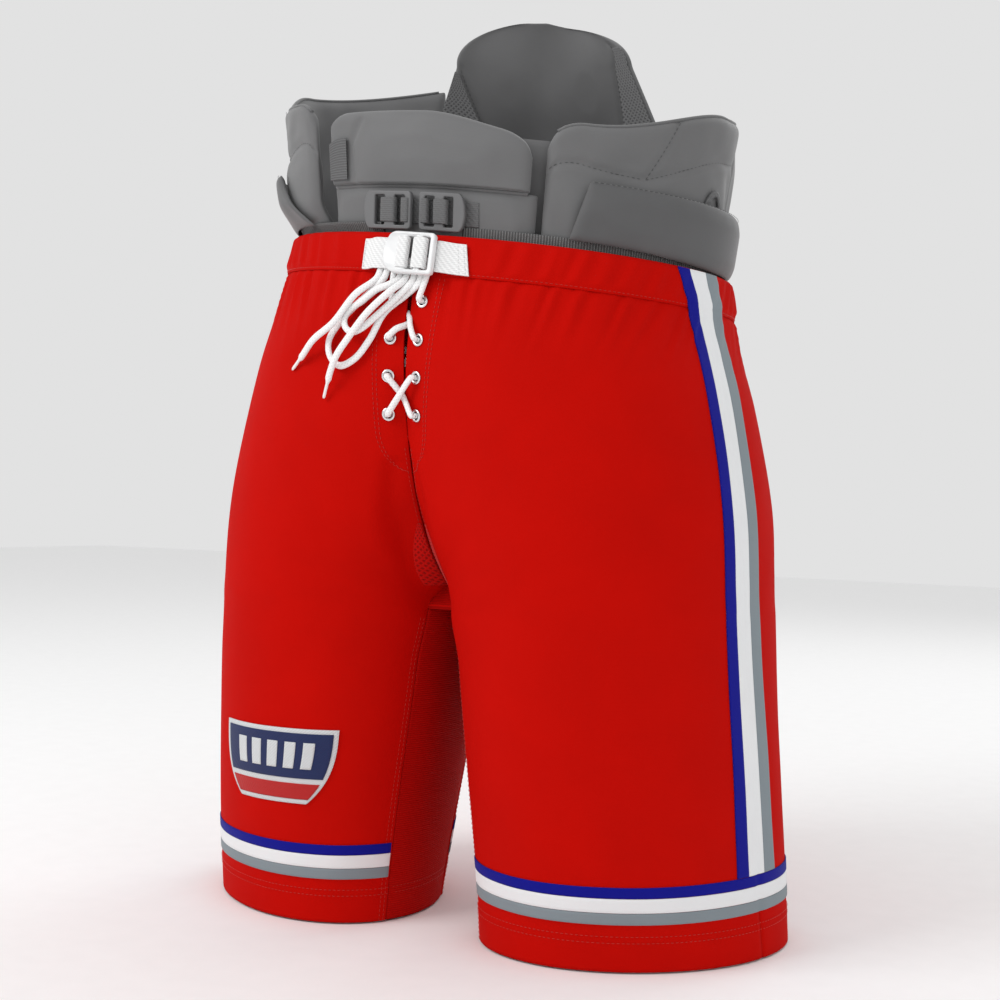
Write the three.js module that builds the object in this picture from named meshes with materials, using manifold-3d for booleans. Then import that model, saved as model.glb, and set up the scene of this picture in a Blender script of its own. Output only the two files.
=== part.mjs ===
// Ice hockey pants: a red fabric shell with knit stripes, laced fly and belt, over padded inner pants.
// Millimetres, +Z up, +X to the wearer's left, front towards -Y. The leg hems stand on Z = 0.
import * as THREE from 'three';
import { mergeVertices } from 'three/addons/utils/BufferGeometryUtils.js';
import Module from 'manifold-3d';

const wasm = await Module();
wasm.setup();

// ---- Driving dimensions ----------------------------------------------------------------------
const FIT = 0.4; // gap between sewn or touching pieces
const LAYER = 1.3; // gap between layers of cloth that follow each other around the body
const DEG = Math.PI / 180;
const ORIGIN_Y = -4.9; // moves the garment so that its box is centred on the origin
const WAIST_LEAN = 0.11; // the waist sits lower on the wearer's left, by this much per millimetre
const LEAN_FROM_Z = 270;

// Cross-sections of the shell, from hem to waist: height, half width, front, back, skew of each leg
// and the angle at which the side stripes start, counted from the front of the leg.
const SECTIONS = [
  { z: 0, outer: 257, front: -123, back: 88, skew: 0.27, stripe: 60 },
  { z: 130, outer: 249, front: -144, back: 110, skew: 0.19, stripe: 64 },
  { z: 259, outer: 240, front: -158, back: 132, skew: 0.12, stripe: 66 },
  { z: 348, outer: 233, front: -164, back: 158, skew: 0.06, stripe: 68 },
  { z: 440, outer: 216, front: -160, back: 174, skew: 0.02, stripe: 70 },
  { z: 500, outer: 199, front: -148, back: 172, skew: 0, stripe: 71 },
  { z: 548, outer: 191, front: -138, back: 166, skew: 0, stripe: 67 },
];
const CROTCH_Z = 256;
const WAIST_Z = 548;
const HEM_LEG_CENTRE = 145; // distance of each leg opening's centre from the middle
const CROTCH_BLEND = 0.45; // how quickly the seat closes towards the crotch

// Shell fabric and what is sewn on it
const SHELL_THICK = 2;
const SHELL_TOP_Z = 520;
const SIDE_SEAM_OFFSET = 21; // the side seam lies under the middle of the side stripes
const STRIPE_WIDTHS = { blue: 11, white: 17, grey: 15 };
const STRIPE_THICK = 0.8;
const HEM_BANDS = { blue: [56, 64], white: [45, 55.6], grey: [36, 44.6] };
const GUSSET_HALF_ANGLE = 25; // inner thigh panel, either side of the inseam
const WAISTBAND_Z = 516;
const WAISTBAND_PLY = 1;
const FLY_HALF_GAP = 4;
const FLY_END_Z = 386;
const FLY_FACING_WIDTH = 25;

// Lacing
const LACE_RADIUS = 2;
const EYELET_X = 12.5;
const EYELET_ROWS = [495, 465, 436, 407];
const EYELET = { hole: 2.9, barrel: 3.6, flange: 5.2, cut: 4 };
const AGLET = { radius: 1.6, length: 12 };

// Belt
const BELT_Z = 528.5;
const WEBBING_WIDTH = 25;
const WEBBING_THICK = 1.5;
const BELT_STANDOFF = 9.5; // the belt stands off the waistband by the laces behind it

// Pads of the inner pants
const PAD_THICK = 12;
const RING_TOP_Z = 670;
// Top edge of each kidney pad: at its front corner, at the side and at its rear end.
const KIDNEY_TOPS = { left: [644, 674, 696], right: [656, 688, 722] };
const KIDNEY_FROM = { left: 30.5, right: 35 };
const KIDNEY_TO = 140;
const ABDOMEN_SEAM_Z = 587;
const ABDOMEN_TOP_Z = 645;
const PAD_FLARE = { left: 0, right: 13 }; // how far each hip's pads lean outwards above the waist
const WING = { top: 600, front: 554, side: 550, out: 1.5, thick: 7 };
const SPINE_HINGE_Z = 672;
const INNER_BUCKLES = { z: 566, right: [-46, -6], left: [1, 34] };
const SPINE_CAP_Z = 737; // the rounded end of the spine pad starts here
const SPINE_TOP_Z = 779;
const SPINE_HALF_WIDTHS = { base: 118, cap: 89 };
const SPINE_SHIFT = -10; // the pad sits a little towards the wearer's right
const SPINE_Y = 143;

// ---- Colours ---------------------------------------------------------------------------------
const RED = 0xc41000;
const DARK_RED = 0x9c0d00;
const NAVY = 0x0a0f82;
const WHITE = 0xf0f1f2;
const STRIPE_GREY = 0x868d90;
const PAD_GREY = 0x5f5f60;
const DARK_GREY = 0x474748;
const NICKEL = 0xb9bec2;
const STRIPE_COLOURS = { blue: NAVY, white: WHITE, grey: STRIPE_GREY };

function cloth(color, roughness = 0.9) {
  return new THREE.MeshStandardMaterial({ color, roughness, metalness: 0 });
}

function plastic(color, roughness = 0.45) {
  return new THREE.MeshStandardMaterial({ color, roughness, metalness: 0 });
}

function metal(color) {
  return new THREE.MeshStandardMaterial({ color, roughness: 0.3, metalness: 1 });
}

// ---- Body of the garment ---------------------------------------------------------------------
const lerp = (a, b, k) => a + (b - a) * k;
const smooth = (k) => k * k * (3 - 2 * k);
const clamp = (v, low, high) => Math.min(high, Math.max(low, v));
const always = (value) => () => value;

// Value of one column of SECTIONS at a height, on a Catmull-Rom curve through the rows.
function sectionValue(z, key) {
  const last = SECTIONS.length - 1;
  let i = 0;
  while (i < last - 1 && z > SECTIONS[i + 1].z) i += 1;
  const slope = (k) => {
    const low = SECTIONS[Math.max(0, k - 1)];
    const high = SECTIONS[Math.min(last, k + 1)];
    return (high[key] - low[key]) / (high.z - low.z);
  };
  const a = SECTIONS[i];
  const b = SECTIONS[i + 1];
  const span = b.z - a.z;
  const k = clamp((z - a.z) / span, 0, 1);
  const h01 = smooth(k);
  const h10 = k * (1 - k) * (1 - k);
  const h11 = k * k * (k - 1);
  return (1 - h01) * a[key] + h01 * b[key] + span * (h10 * slope(i) + h11 * slope(i + 1));
}

// The section of one leg at a height: centre and half sizes of its skewed ellipse. Above the crotch
// the two ellipses meet on the middle plane.
function section(z) {
  const outer = sectionValue(z, 'outer');
  const front = sectionValue(z, 'front');
  const back = sectionValue(z, 'back');
  let halfWidth;
  if (z >= CROTCH_Z) {
    const rise = (z - CROTCH_Z) / (WAIST_Z - CROTCH_Z);
    const open = Math.sin((Math.PI / 2) * Math.min(1, rise) ** CROTCH_BLEND);
    halfWidth = outer / (1 + Math.sqrt(1 - open * open));
  } else {
    const crotchHalf = sectionValue(CROTCH_Z, 'outer') / 2 - 2;
    const hemHalf = sectionValue(0, 'outer') - HEM_LEG_CENTRE;
    halfWidth = lerp(hemHalf, crotchHalf, smooth(z / CROTCH_Z));
  }
  return {
    cx: outer - halfWidth,
    cy: (front + back) / 2,
    a: halfWidth,
    b: (back - front) / 2,
    skew: sectionValue(z, 'skew'),
  };
}

// A point of the left half at an angle (0 front, 90 outer side, 180 back) and a distance outside
// the shell's outer surface.
function onShell(angle, z, out) {
  const s = section(z);
  const t = angle * DEG;
  const dx = (s.a + out) * Math.sin(t);
  return new THREE.Vector3(s.cx + dx, s.cy - (s.b + out) * Math.cos(t) + s.skew * dx, z);
}

// Angle of the front and back middle at a height; below the crotch it is the inseam.
function middleAngle(z) {
  if (z <= CROTCH_Z) return -90;
  const s = section(z);
  return -Math.asin(clamp(s.cx / s.a, -1, 1)) / DEG;
}

const backMiddle = (z) => 180 - middleAngle(z);
const alongShell = (z, millimetres) => millimetres / (section(z).b * 0.9 * DEG);
const sideSeam = (z) => sectionValue(z, 'stripe') + alongShell(z, SIDE_SEAM_OFFSET);

// A point of the front surface above the crotch, at a distance x from the middle plane.
function front(x, z, out) {
  const s = section(z);
  const k = clamp((Math.abs(x) - s.cx) / s.a, -1, 1);
  const y = s.cy - (s.b + out) * Math.sqrt(1 - k * k) + s.skew * (Math.abs(x) - s.cx);
  return new THREE.Vector3(x, y, z);
}

// ---- Solids ----------------------------------------------------------------------------------
function toGeometry(points, faces, flip = false) {
  const geometry = new THREE.BufferGeometry();
  const index = flip ? faces.map(([a, b, c]) => [a, c, b]).flat() : faces.flat();
  geometry.setAttribute('position', new THREE.Float32BufferAttribute(points.flatMap((p) => p.toArray()), 3));
  geometry.setIndex(index);
  return geometry;
}

// A closed sheet between an outer and an inner grid of points. place(u, v, inner) gives a point for
// u and v from 0 to 1.
function sheetSolid(place, nu, nv, { flip = false } = {}) {
  const columns = nu + 1;
  const points = [];
  for (const inner of [false, true]) {
    for (let j = 0; j <= nv; j += 1) {
      for (let i = 0; i < columns; i += 1) points.push(place(i / nu, j / nv, inner));
    }
  }
  const layer = columns * (nv + 1);
  const at = (i, j, inner) => (inner ? layer : 0) + j * columns + i;
  const faces = [];
  const quad = (a, b, c, d) => faces.push([a, b, c], [a, c, d]);
  for (let i = 0; i < nu; i += 1) {
    for (let j = 0; j < nv; j += 1) {
      quad(at(i, j, false), at(i + 1, j, false), at(i + 1, j + 1, false), at(i, j + 1, false));
      quad(at(i, j, true), at(i, j + 1, true), at(i + 1, j + 1, true), at(i + 1, j, true));
    }
    quad(at(i, 0, true), at(i + 1, 0, true), at(i + 1, 0, false), at(i, 0, false));
    quad(at(i, nv, false), at(i + 1, nv, false), at(i + 1, nv, true), at(i, nv, true));
  }
  for (let j = 0; j < nv; j += 1) {
    quad(at(0, j, true), at(0, j, false), at(0, j + 1, false), at(0, j + 1, true));
    quad(at(nu, j, false), at(nu, j, true), at(nu, j + 1, true), at(nu, j + 1, false));
  }
  return toGeometry(points, faces, flip);
}

// A piece of cloth on the shell, between two heights and two angle functions of the height.
function clothPanel(side, { low, high, from, to, out = always(0), thick, nu, nv }) {
  const place = (u, v, inner) => {
    const z = lerp(low, high, v);
    const point = onShell(lerp(from(z), to(z), u), z, inner ? out(z) - thick : out(z));
    point.x = side * (point.x + FIT / 2);
    return point;
  };
  return sheetSolid(place, nu, nv, { flip: side < 0 });
}

// A smooth tube along points, with flat ends.
function tube(points, radius, steps, sides = 8) {
  const section2d = new THREE.Shape();
  for (let i = 0; i < sides; i += 1) {
    const a = (2 * Math.PI * i) / sides;
    const x = radius * Math.cos(a);
    const y = radius * Math.sin(a);
    if (i === 0) section2d.moveTo(x, y);
    else section2d.lineTo(x, y);
  }
  section2d.closePath();
  const path = new THREE.CatmullRomCurve3(points, false, 'centripetal');
  return new THREE.ExtrudeGeometry(section2d, { steps, bevelEnabled: false, extrudePath: path });
}

function toManifold(geometry) {
  const bare = geometry.clone();
  bare.deleteAttribute('normal');
  bare.deleteAttribute('uv');
  const merged = mergeVertices(bare, 1e-4);
  const mesh = new wasm.Mesh({
    numProp: 3,
    vertProperties: new Float32Array(merged.attributes.position.array),
    triVerts: new Uint32Array(merged.index.array),
  });
  return new wasm.Manifold(mesh);
}

function fromManifold(solid) {
  const mesh = solid.getMesh();
  const geometry = new THREE.BufferGeometry();
  geometry.setAttribute('position', new THREE.Float32BufferAttribute(mesh.vertProperties, 3));
  geometry.setIndex(Array.from(mesh.triVerts));
  return geometry;
}

function cut(geometry, cutters) {
  return fromManifold(cutters.reduce((solid, tool) => solid.subtract(toManifold(tool)), toManifold(geometry)));
}

// Lowers the wearer's left of the waist and raises the right. The legs below it stay level.
function lean(geometry) {
  const position = geometry.attributes.position;
  for (let i = 0; i < position.count; i += 1) {
    const z = position.getZ(i);
    const share = smooth(clamp((z - LEAN_FROM_Z) / (WAIST_Z - LEAN_FROM_Z), 0, 1));
    position.setZ(i, z - WAIST_LEAN * share * position.getX(i));
  }
  return geometry;
}

// ---- The object ------------------------------------------------------------------------------
const pants = new THREE.Group();
pants.position.y = ORIGIN_Y;
const SIDES = { left: 1, right: -1 };

function add(name, geometry, material) {
  const mesh = new THREE.Mesh(lean(geometry), material);
  mesh.name = name;
  pants.add(mesh);
  return mesh;
}

// ---- Fly and eyelets -------------------------------------------------------------------------
// The fly is widest where the laces pass through it.
function flyGap(z) {
  const rise = clamp((z - FLY_END_Z) / (EYELET_ROWS[1] - FLY_END_Z), 0, 1);
  return 5.4 * rise * rise;
}

const flyEdge = (z) => middleAngle(z) + (z > FLY_END_Z ? alongShell(z, flyGap(z)) : 0);

// Place and outward direction of an eyelet.
function eyeletFrame(side, z) {
  const centre = front(EYELET_X, z, 0);
  const across = front(EYELET_X + 4, z, 0).sub(front(EYELET_X - 4, z, 0));
  const upwards = front(EYELET_X, z + 4, 0).sub(front(EYELET_X, z - 4, 0));
  const outward = across.cross(upwards).normalize();
  return {
    centre: new THREE.Vector3(side * centre.x, centre.y, z),
    outward: new THREE.Vector3(side * outward.x, outward.y, outward.z),
  };
}

const eyeletPoint = (side, row, out) => {
  const { centre, outward } = eyeletFrame(side, EYELET_ROWS[row]);
  return centre.clone().addScaledVector(outward, out);
};

// Turns a solid made around +Y so that +Y points along the eyelet's outward direction.
function onEyelet(geometry, side, z) {
  const { centre, outward } = eyeletFrame(side, z);
  const turn = new THREE.Quaternion().setFromUnitVectors(new THREE.Vector3(0, 1, 0), outward);
  return geometry.applyQuaternion(turn).translate(centre.x, centre.y, centre.z);
}

function eyeletHoles(side) {
  return EYELET_ROWS.map((z) => onEyelet(new THREE.CylinderGeometry(EYELET.cut, EYELET.cut, 30, 10), side, z));
}

function eyelet(side, z) {
  const inside = -(SHELL_THICK + LAYER + 1.5);
  const profile = [
    [EYELET.hole, inside - 1],
    [EYELET.flange, inside - 1],
    [EYELET.flange, inside - FIT],
    [EYELET.barrel, inside - FIT],
    [EYELET.barrel, FIT],
    [EYELET.flange, FIT],
    [EYELET.flange - 0.8, 1.2],
    [EYELET.hole, 1.2],
    [EYELET.hole, inside - 1],
  ].map(([x, y]) => new THREE.Vector2(x, y));
  return onEyelet(new THREE.LatheGeometry(profile, 10), side, z);
}

// ---- Shell -----------------------------------------------------------------------------------
const inseamFront = (z) => (z <= CROTCH_Z ? -90 + GUSSET_HALF_ANGLE : flyEdge(z));
const inseamBack = (z) => (z <= CROTCH_Z ? 270 - GUSSET_HALF_ANGLE : backMiddle(z));

// Joins the leg below the crotch and the seat above it, so that the panel has one outline.
function seatEdge(z, edge) {
  const above = CROTCH_Z + 18;
  if (z >= above || z <= CROTCH_Z) return edge(z);
  const k = (z - CROTCH_Z) / (above - CROTCH_Z);
  return lerp(edge(CROTCH_Z), edge(above), k);
}

function shellPanels() {
  for (const [name, side] of Object.entries(SIDES)) {
    const common = { low: 0, high: SHELL_TOP_Z, thick: SHELL_THICK, nv: 20 };
    const frontPanel = clothPanel(side, {
      ...common,
      from: (z) => seatEdge(z, inseamFront),
      to: sideSeam,
      nu: 12,
    });
    add(`shell_front_${name}`, cut(frontPanel, eyeletHoles(side)), cloth(RED));
    const backPanel = clothPanel(side, {
      ...common,
      from: (z) => sideSeam(z) + alongShell(z, FIT),
      to: (z) => seatEdge(z, inseamBack),
      nu: 11,
    });
    add(`shell_back_${name}`, backPanel, cloth(RED));
    const gusset = clothPanel(side, {
      low: 0,
      high: CROTCH_Z,
      thick: SHELL_THICK,
      from: (z) => -90 - GUSSET_HALF_ANGLE + alongShell(z, 2 * FIT),
      to: (z) => -90 + GUSSET_HALF_ANGLE - alongShell(z, 2 * FIT),
      nu: 5,
      nv: 8,
    });
    add(`inner_thigh_panel_${name}`, gusset, cloth(DARK_RED));
  }
}

// An open ring of cloth around the waist. Its closed profile holds (out, z) points.
function waistRing(profile, gap, segments) {
  const points = [];
  for (let i = 0; i <= segments; i += 1) {
    const turn = lerp(gap, 360 - gap, i / segments);
    const side = turn <= 180 ? 1 : -1;
    const angle = turn <= 180 ? turn : 360 - turn;
    for (const [out, z] of profile) {
      const point = onShell(angle, z, out);
      point.x *= side;
      points.push(point);
    }
  }
  const n = profile.length;
  const faces = [];
  for (let i = 0; i < segments; i += 1) {
    for (let j = 0; j < n; j += 1) {
      const a = i * n + j;
      const b = i * n + ((j + 1) % n);
      faces.push([a, a + n, b + n], [a, b + n, b]);
    }
  }
  const outline = THREE.ShapeUtils.triangulateShape(profile.map(([x, y]) => new THREE.Vector2(x, y)), []);
  const end = segments * n;
  for (const [a, b, c] of outline) faces.push([a, b, c], [end + a, end + c, end + b]);
  return toGeometry(points, faces);
}

function waistband() {
  const gap = alongShell(WAIST_Z, FLY_HALF_GAP);
  const outer = LAYER + WAISTBAND_PLY;
  const inner = -SHELL_THICK - LAYER;
  const casing = [
    [outer, WAISTBAND_Z],
    [outer, WAIST_Z - 1],
    [outer - 1, WAIST_Z],
    [inner - WAISTBAND_PLY + 1, WAIST_Z],
    [inner - WAISTBAND_PLY, WAIST_Z - 1],
    [inner - WAISTBAND_PLY, WAISTBAND_Z],
    [inner, WAISTBAND_Z],
    [inner, WAIST_Z - 2],
    [LAYER, WAIST_Z - 2],
    [LAYER, WAISTBAND_Z],
  ];
  add('waistband_casing', waistRing(casing, gap, 48), cloth(RED));
  const elastic = [
    [inner + 1.1, SHELL_TOP_Z + 3],
    [-0.2, SHELL_TOP_Z + 3],
    [-0.2, WAIST_Z - 4],
    [inner + 1.1, WAIST_Z - 4],
  ];
  add('waistband_elastic', waistRing(elastic, gap + 1, 48), cloth(WHITE));
}

// The side stripes climb from the shell onto the waistband.
function stripeOut(z) {
  const step = smooth(clamp((z - 480) / (WAISTBAND_Z - 482), 0, 1));
  return LAYER + STRIPE_THICK + (WAISTBAND_PLY + LAYER) * step;
}

function sideStripes() {
  for (const [name, side] of Object.entries(SIDES)) {
    let start = 0;
    for (const [colour, width] of Object.entries(STRIPE_WIDTHS)) {
      const begin = start;
      const stripe = clothPanel(side, {
        low: HEM_BANDS.blue[1] + FIT,
        high: WAIST_Z - 1,
        from: (z) => sectionValue(z, 'stripe') + alongShell(z, begin),
        to: (z) => sectionValue(z, 'stripe') + alongShell(z, begin + width - FIT),
        out: stripeOut,
        thick: STRIPE_THICK,
        nu: 1,
        nv: 20,
      });
      add(`side_stripe_${colour}_${name}`, stripe, cloth(STRIPE_COLOURS[colour]));
      start += width;
    }
  }
}

function hemStripes() {
  for (const [name, side] of Object.entries(SIDES)) {
    for (const [colour, [low, high]] of Object.entries(HEM_BANDS)) {
      const stripe = clothPanel(side, {
        low,
        high,
        from: always(-90 + GUSSET_HALF_ANGLE + 1),
        to: always(270 - GUSSET_HALF_ANGLE - 1),
        out: always(LAYER + STRIPE_THICK),
        thick: STRIPE_THICK,
        nu: 32,
        nv: 1,
      });
      add(`hem_stripe_${colour}_${name}`, stripe, cloth(STRIPE_COLOURS[colour]));
    }
  }
}

// A sewn shield without lettering, on the right thigh just above the hem stripes.
function thighPatch() {
  const patch = { low: 97, high: 158, from: -36, to: 22 };
  const place = (u, v, inner) => {
    const z = lerp(patch.low, patch.high, v);
    const taper = 1 - 0.4 * (1 - v) ** 3;
    const middle = (patch.from + patch.to) / 2;
    const angle = middle + (u - 0.5) * (patch.to - patch.from) * taper;
    const point = onShell(angle, z, inner ? LAYER : LAYER + 1.4);
    point.x = -point.x;
    return point;
  };
  add('thigh_patch', sheetSolid(place, 6, 4, { flip: true }), cloth(NAVY));
}

function fly() {
  for (const [name, side] of Object.entries(SIDES)) {
    const facing = clothPanel(side, {
      low: FLY_END_Z + 6,
      high: WAISTBAND_Z - 1,
      from: (z) => flyEdge(z) + alongShell(z, 0.6),
      to: (z) => flyEdge(z) + alongShell(z, FLY_FACING_WIDTH),
      out: always(-SHELL_THICK - LAYER),
      thick: 1.2,
      nu: 3,
      nv: 7,
    });
    add(`fly_facing_${name}`, cut(facing, eyeletHoles(side)), cloth(DARK_RED));
  }
  const place = (u, v, inner) => front(lerp(-30, 30, u), lerp(FLY_END_Z + 2, 500, v), inner ? -19.5 : -18);
  add('fly_placket', sheetSolid(place, 8, 5), cloth(RED));
}

function eyelets() {
  for (const [name, side] of Object.entries(SIDES)) {
    EYELET_ROWS.forEach((z, row) => add(`eyelet_${name}_${row + 1}`, eyelet(side, z), metal(NICKEL)));
  }
}

// ---- Laces -----------------------------------------------------------------------------------
const INSIDE = -8;
const OUTSIDE = 4.6;
const KNOT = { low: 519, high: 529, left: -29, right: 21, out: 2.9, thick: 3.8 };

// Through an eyelet: straight along its direction, from one face of the fly to the other.
function through(side, row, inwards) {
  const outs = [OUTSIDE, 1.6, -1.6, -5, INSIDE];
  if (!inwards) outs.reverse();
  return outs.map((out) => eyeletPoint(side, row, out));
}

// The laced length, from the knot down the fly and back. It crosses outside between the lower two
// rows, inside between the middle rows, and passes through the fly between the upper two.
function lacedRoute() {
  const L = 1;
  const R = -1;
  return [
    front(-13, KNOT.low - FIT, 4.8),
    front(-13, 508, 4.8),
    ...through(R, 0, true),
    front(-6.2, 487.5, -7.4),
    front(0, 483.6, -1.2),
    front(6.5, 474, 4.4),
    ...through(L, 1, true),
    front(0, 451, -7),
    ...through(R, 2, false),
    front(0, 421.5, 4.6),
    ...through(L, 3, true),
    front(0, 404, -10),
    ...through(R, 3, false),
    front(0, 421.5, 10.2),
    ...through(L, 2, true),
    front(0, 451, -13),
    ...through(R, 1, false),
    front(-6.5, 472, 4.4),
    front(0, 477.2, -1.2),
    front(7.5, 486, -6.8),
    ...through(L, 0, false),
    front(15, 508, 4.8),
    front(17.5, KNOT.low - FIT, 4.8),
  ];
}

// Each hanging length starts under the knot, side by side with the others, and lies in its own layer.
const HANGING = {
  lace_loop_long: [
    [11.5, 518.6, 4.8], [10, 509, 4.8], [-1, 499, 4.6], [-17, 484, 4.6], [-27, 462, 4.6], [-38, 447, 4.6],
    [-51, 441, 4.6], [-61, 448, 4.6], [-64, 460, 4.6], [-54, 477, 4.6], [-32, 499, 4.6], [-21, 511, 4.8],
    [-19, 518.6, 4.8],
  ],
  lace_loop_short: [
    [5.5, 518.6, 4.8], [4.5, 510, 6.2], [-7, 495, 9.2], [-21, 480.5, 9.2], [-33.5, 469.5, 9.2],
    [-41, 467, 9.2], [-47, 470.5, 9.2], [-49, 477, 9.2], [-45.5, 483.5, 9.2], [-35, 491.5, 9.2],
    [-23, 501, 10], [-13, 505.5, 9.9], [-7, 511, 6.6], [-7, 518.6, 4.8],
  ],
  lace_end_left: [
    [-0.5, 518.6, 4.8], [-1.5, 510, 8.4], [-9, 500, 14], [-26, 482, 14.4], [-39, 463, 14], [-49, 448, 13],
    [-56, 436, 9], [-60, 427, 6],
  ],
  lace_end_right: [
    [-25, 518.6, 4.8], [-27, 510, 6], [-41, 496, 11.5], [-56, 473, 13.8], [-75, 459, 12], [-88, 447.5, 7],
    [-93, 443.5, 5.2],
  ],
};

const hangingPoints = (name) => HANGING[name].map(([x, z, out]) => front(x, z, out));

function aglet(name) {
  const [before, tip] = hangingPoints(name).slice(-2);
  const direction = tip.clone().sub(before).normalize();
  const start = tip.clone().addScaledVector(direction, FIT);
  const geometry = new THREE.CylinderGeometry(AGLET.radius * 0.8, AGLET.radius, AGLET.length, 8);
  geometry.translate(0, AGLET.length / 2, 0);
  geometry.applyQuaternion(new THREE.Quaternion().setFromUnitVectors(new THREE.Vector3(0, 1, 0), direction));
  return geometry.translate(start.x, start.y, start.z);
}

function laces() {
  add('lace_laced', tube(lacedRoute(), LACE_RADIUS, 84), cloth(WHITE));
  const place = (u, v, inner) => {
    const round = 1.6 * (2 * v - 1) ** 2;
    const out = inner ? KNOT.out : KNOT.out + KNOT.thick - round;
    return front(lerp(KNOT.left, KNOT.right, u), lerp(KNOT.low, KNOT.high, v), out);
  };
  add('lace_knot', sheetSolid(place, 10, 4), cloth(WHITE));
  const steps = { lace_loop_long: 18, lace_loop_short: 15, lace_end_left: 11, lace_end_right: 11 };
  for (const [name, count] of Object.entries(steps)) {
    add(name, tube(hangingPoints(name), LACE_RADIUS, count), cloth(WHITE));
  }
  add('aglet_left', aglet('lace_end_left'), plastic(WHITE));
  add('aglet_right', aglet('lace_end_right'), plastic(WHITE));
}

// ---- Belt ------------------------------------------------------------------------------------
// A strip of webbing standing on edge: a plan outline of given thickness along points, extruded up.
function webbing(points, thick, low, high) {
  const flat = points.map(([x, y]) => new THREE.Vector2(x, y));
  const offset = (k) => flat.map((p, i) => {
    const before = flat[Math.max(0, i - 1)];
    const after = flat[Math.min(flat.length - 1, i + 1)];
    const along = after.clone().sub(before).normalize();
    return new THREE.Vector2(p.x - along.y * k, p.y + along.x * k);
  });
  const outline = [...offset(-thick / 2), ...offset(thick / 2).reverse()];
  const shape = new THREE.Shape(outline);
  const geometry = new THREE.ExtrudeGeometry(shape, { depth: high - low, bevelEnabled: false });
  return geometry.translate(0, 0, low);
}

const BUCKLE = { left: -7, right: 25, half: 16.5, thick: 5, tab: 14 };
const BELT_SLOTS = [[0.25, 0.5], [0.66, 0.88]]; // shares of the buckle's length
const INNER_SLOTS = [[0.12, 0.36], [0.6, 0.86]];

// Ladder buckle: a frame with two slots and a bar between them, and a round thumb tab.
function ladderBuckle({ left, right, half, thick, tab }, slots) {
  const outline = [];
  for (let i = 0; i <= 3; i += 1) {
    const a = (Math.PI / 2) * (i / 3);
    outline.push(new THREE.Vector2(right - 3 + 3 * Math.sin(a), -half + 3 - 3 * Math.cos(a)));
  }
  outline.push(...outline.map((p) => new THREE.Vector2(p.x, -p.y)).reverse());
  for (let i = 0; i <= 8; i += 1) {
    const a = Math.PI / 2 + (Math.PI * i) / 8;
    outline.push(new THREE.Vector2(left + tab * Math.cos(a), half * Math.sin(a)));
  }
  const shape = new THREE.Shape(outline);
  const span = right - left;
  slots.forEach(([from, to], i) => {
    const reach = half - (i === 0 ? 3.4 : 3.2);
    const [x0, x1] = [left + span * from, left + span * to];
    const corners = [[x0, -reach], [x0, reach], [x1, reach], [x1, -reach]];
    shape.holes.push(new THREE.Path(corners.map(([x, y]) => new THREE.Vector2(x, y))));
  });
  const geometry = new THREE.ExtrudeGeometry(shape, { depth: thick, bevelEnabled: false });
  return geometry.rotateX(Math.PI / 2);
}

// The belt lies on the leaning front of the waistband.
const BELT_LEAN = 11 * DEG;

function onBelt(geometry) {
  return geometry.rotateX(-BELT_LEAN).translate(0, front(0, BELT_Z, 0).y, BELT_Z);
}

function belt() {
  const buckle = onBelt(ladderBuckle(BUCKLE, BELT_SLOTS).translate(0, -BELT_STANDOFF, 0));
  add('belt_buckle', buckle, plastic(WHITE, 0.5));
  const half = WEBBING_WIDTH / 2;
  const sewn = WAISTBAND_PLY + 2 * LAYER + WEBBING_THICK / 2;
  const point = ([x, out]) => [x, front(x, BELT_Z, 0).y - front(0, BELT_Z, 0).y - out];
  const strip = (name, points) => {
    add(name, onBelt(webbing(points.map(point), WEBBING_THICK, -half, half)), cloth(WHITE));
  };
  strip('belt_strap_right', [[-44, sewn], [-39, sewn + 0.2], [-31, 8.1], [-20, 8.2], [-9, 8.2]]);
  strip('belt_strap_left', [[26.6, 7.9], [32, 6.4], [39, sewn + 0.4], [49, sewn]]);
  const over = BELT_STANDOFF + BUCKLE.thick + WEBBING_THICK / 2 + FIT;
  strip('belt_webbing_loop', [[4.6, 9.6], [5.6, 13.6], [7.6, over], [15, over], [17, 13.6], [18, 9.6]]);
}

// ---- Inner pants: pads -----------------------------------------------------------------------
// Outer face of the ring of pads above the waist, at a full-turn angle and height.
function onPads(angle, z, out) {
  const t = angle * DEG;
  const rise = clamp((z - WAIST_Z) / (RING_TOP_Z - WAIST_Z), -0.5, 1.4);
  const a = 186 + 18 * rise + out;
  const b = 146 + 3 * rise + out;
  return new THREE.Vector3(a * Math.sin(t), 13 - b * Math.cos(t), z);
}

// The lean of a hip's pads grows just above the waistband and fades out towards the back.
function padLean(flare, angle, z) {
  return flare * smooth(clamp((z - 545) / 30, 0, 1)) * smooth(clamp((130 - angle) / 45, 0, 1));
}

// A padded panel of the ring with rounded top corners and softened edges.
function padPanel({ from, to, low, top, corner = 26, squareEnd = false, out = 0, flare = 0, nu, nv, side = 1 }) {
  const place = (u, v, inner) => {
    const angle = lerp(from, to, u);
    const edge = (squareEnd ? u : Math.min(u, 1 - u)) * Math.abs(to - from) * 2.8;
    const drop = edge < corner ? corner - Math.sqrt(corner * corner - (corner - edge) ** 2) : 0;
    const crest = typeof top === 'function' ? top(angle) : top;
    const z = lerp(low, crest - drop * 0.8, v);
    const rim = Math.min(1, 6 * Math.min(u, 1 - u) + 0.35, 6 * (1 - v) + 0.35);
    const face = out + padLean(flare, angle, z);
    const point = onPads(angle, z, face - PAD_THICK / 2 + (inner ? -0.5 : 0.5) * PAD_THICK * rim);
    point.x *= side;
    return point;
  };
  return sheetSolid(place, nu, nv, { flip: side < 0 });
}

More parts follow.
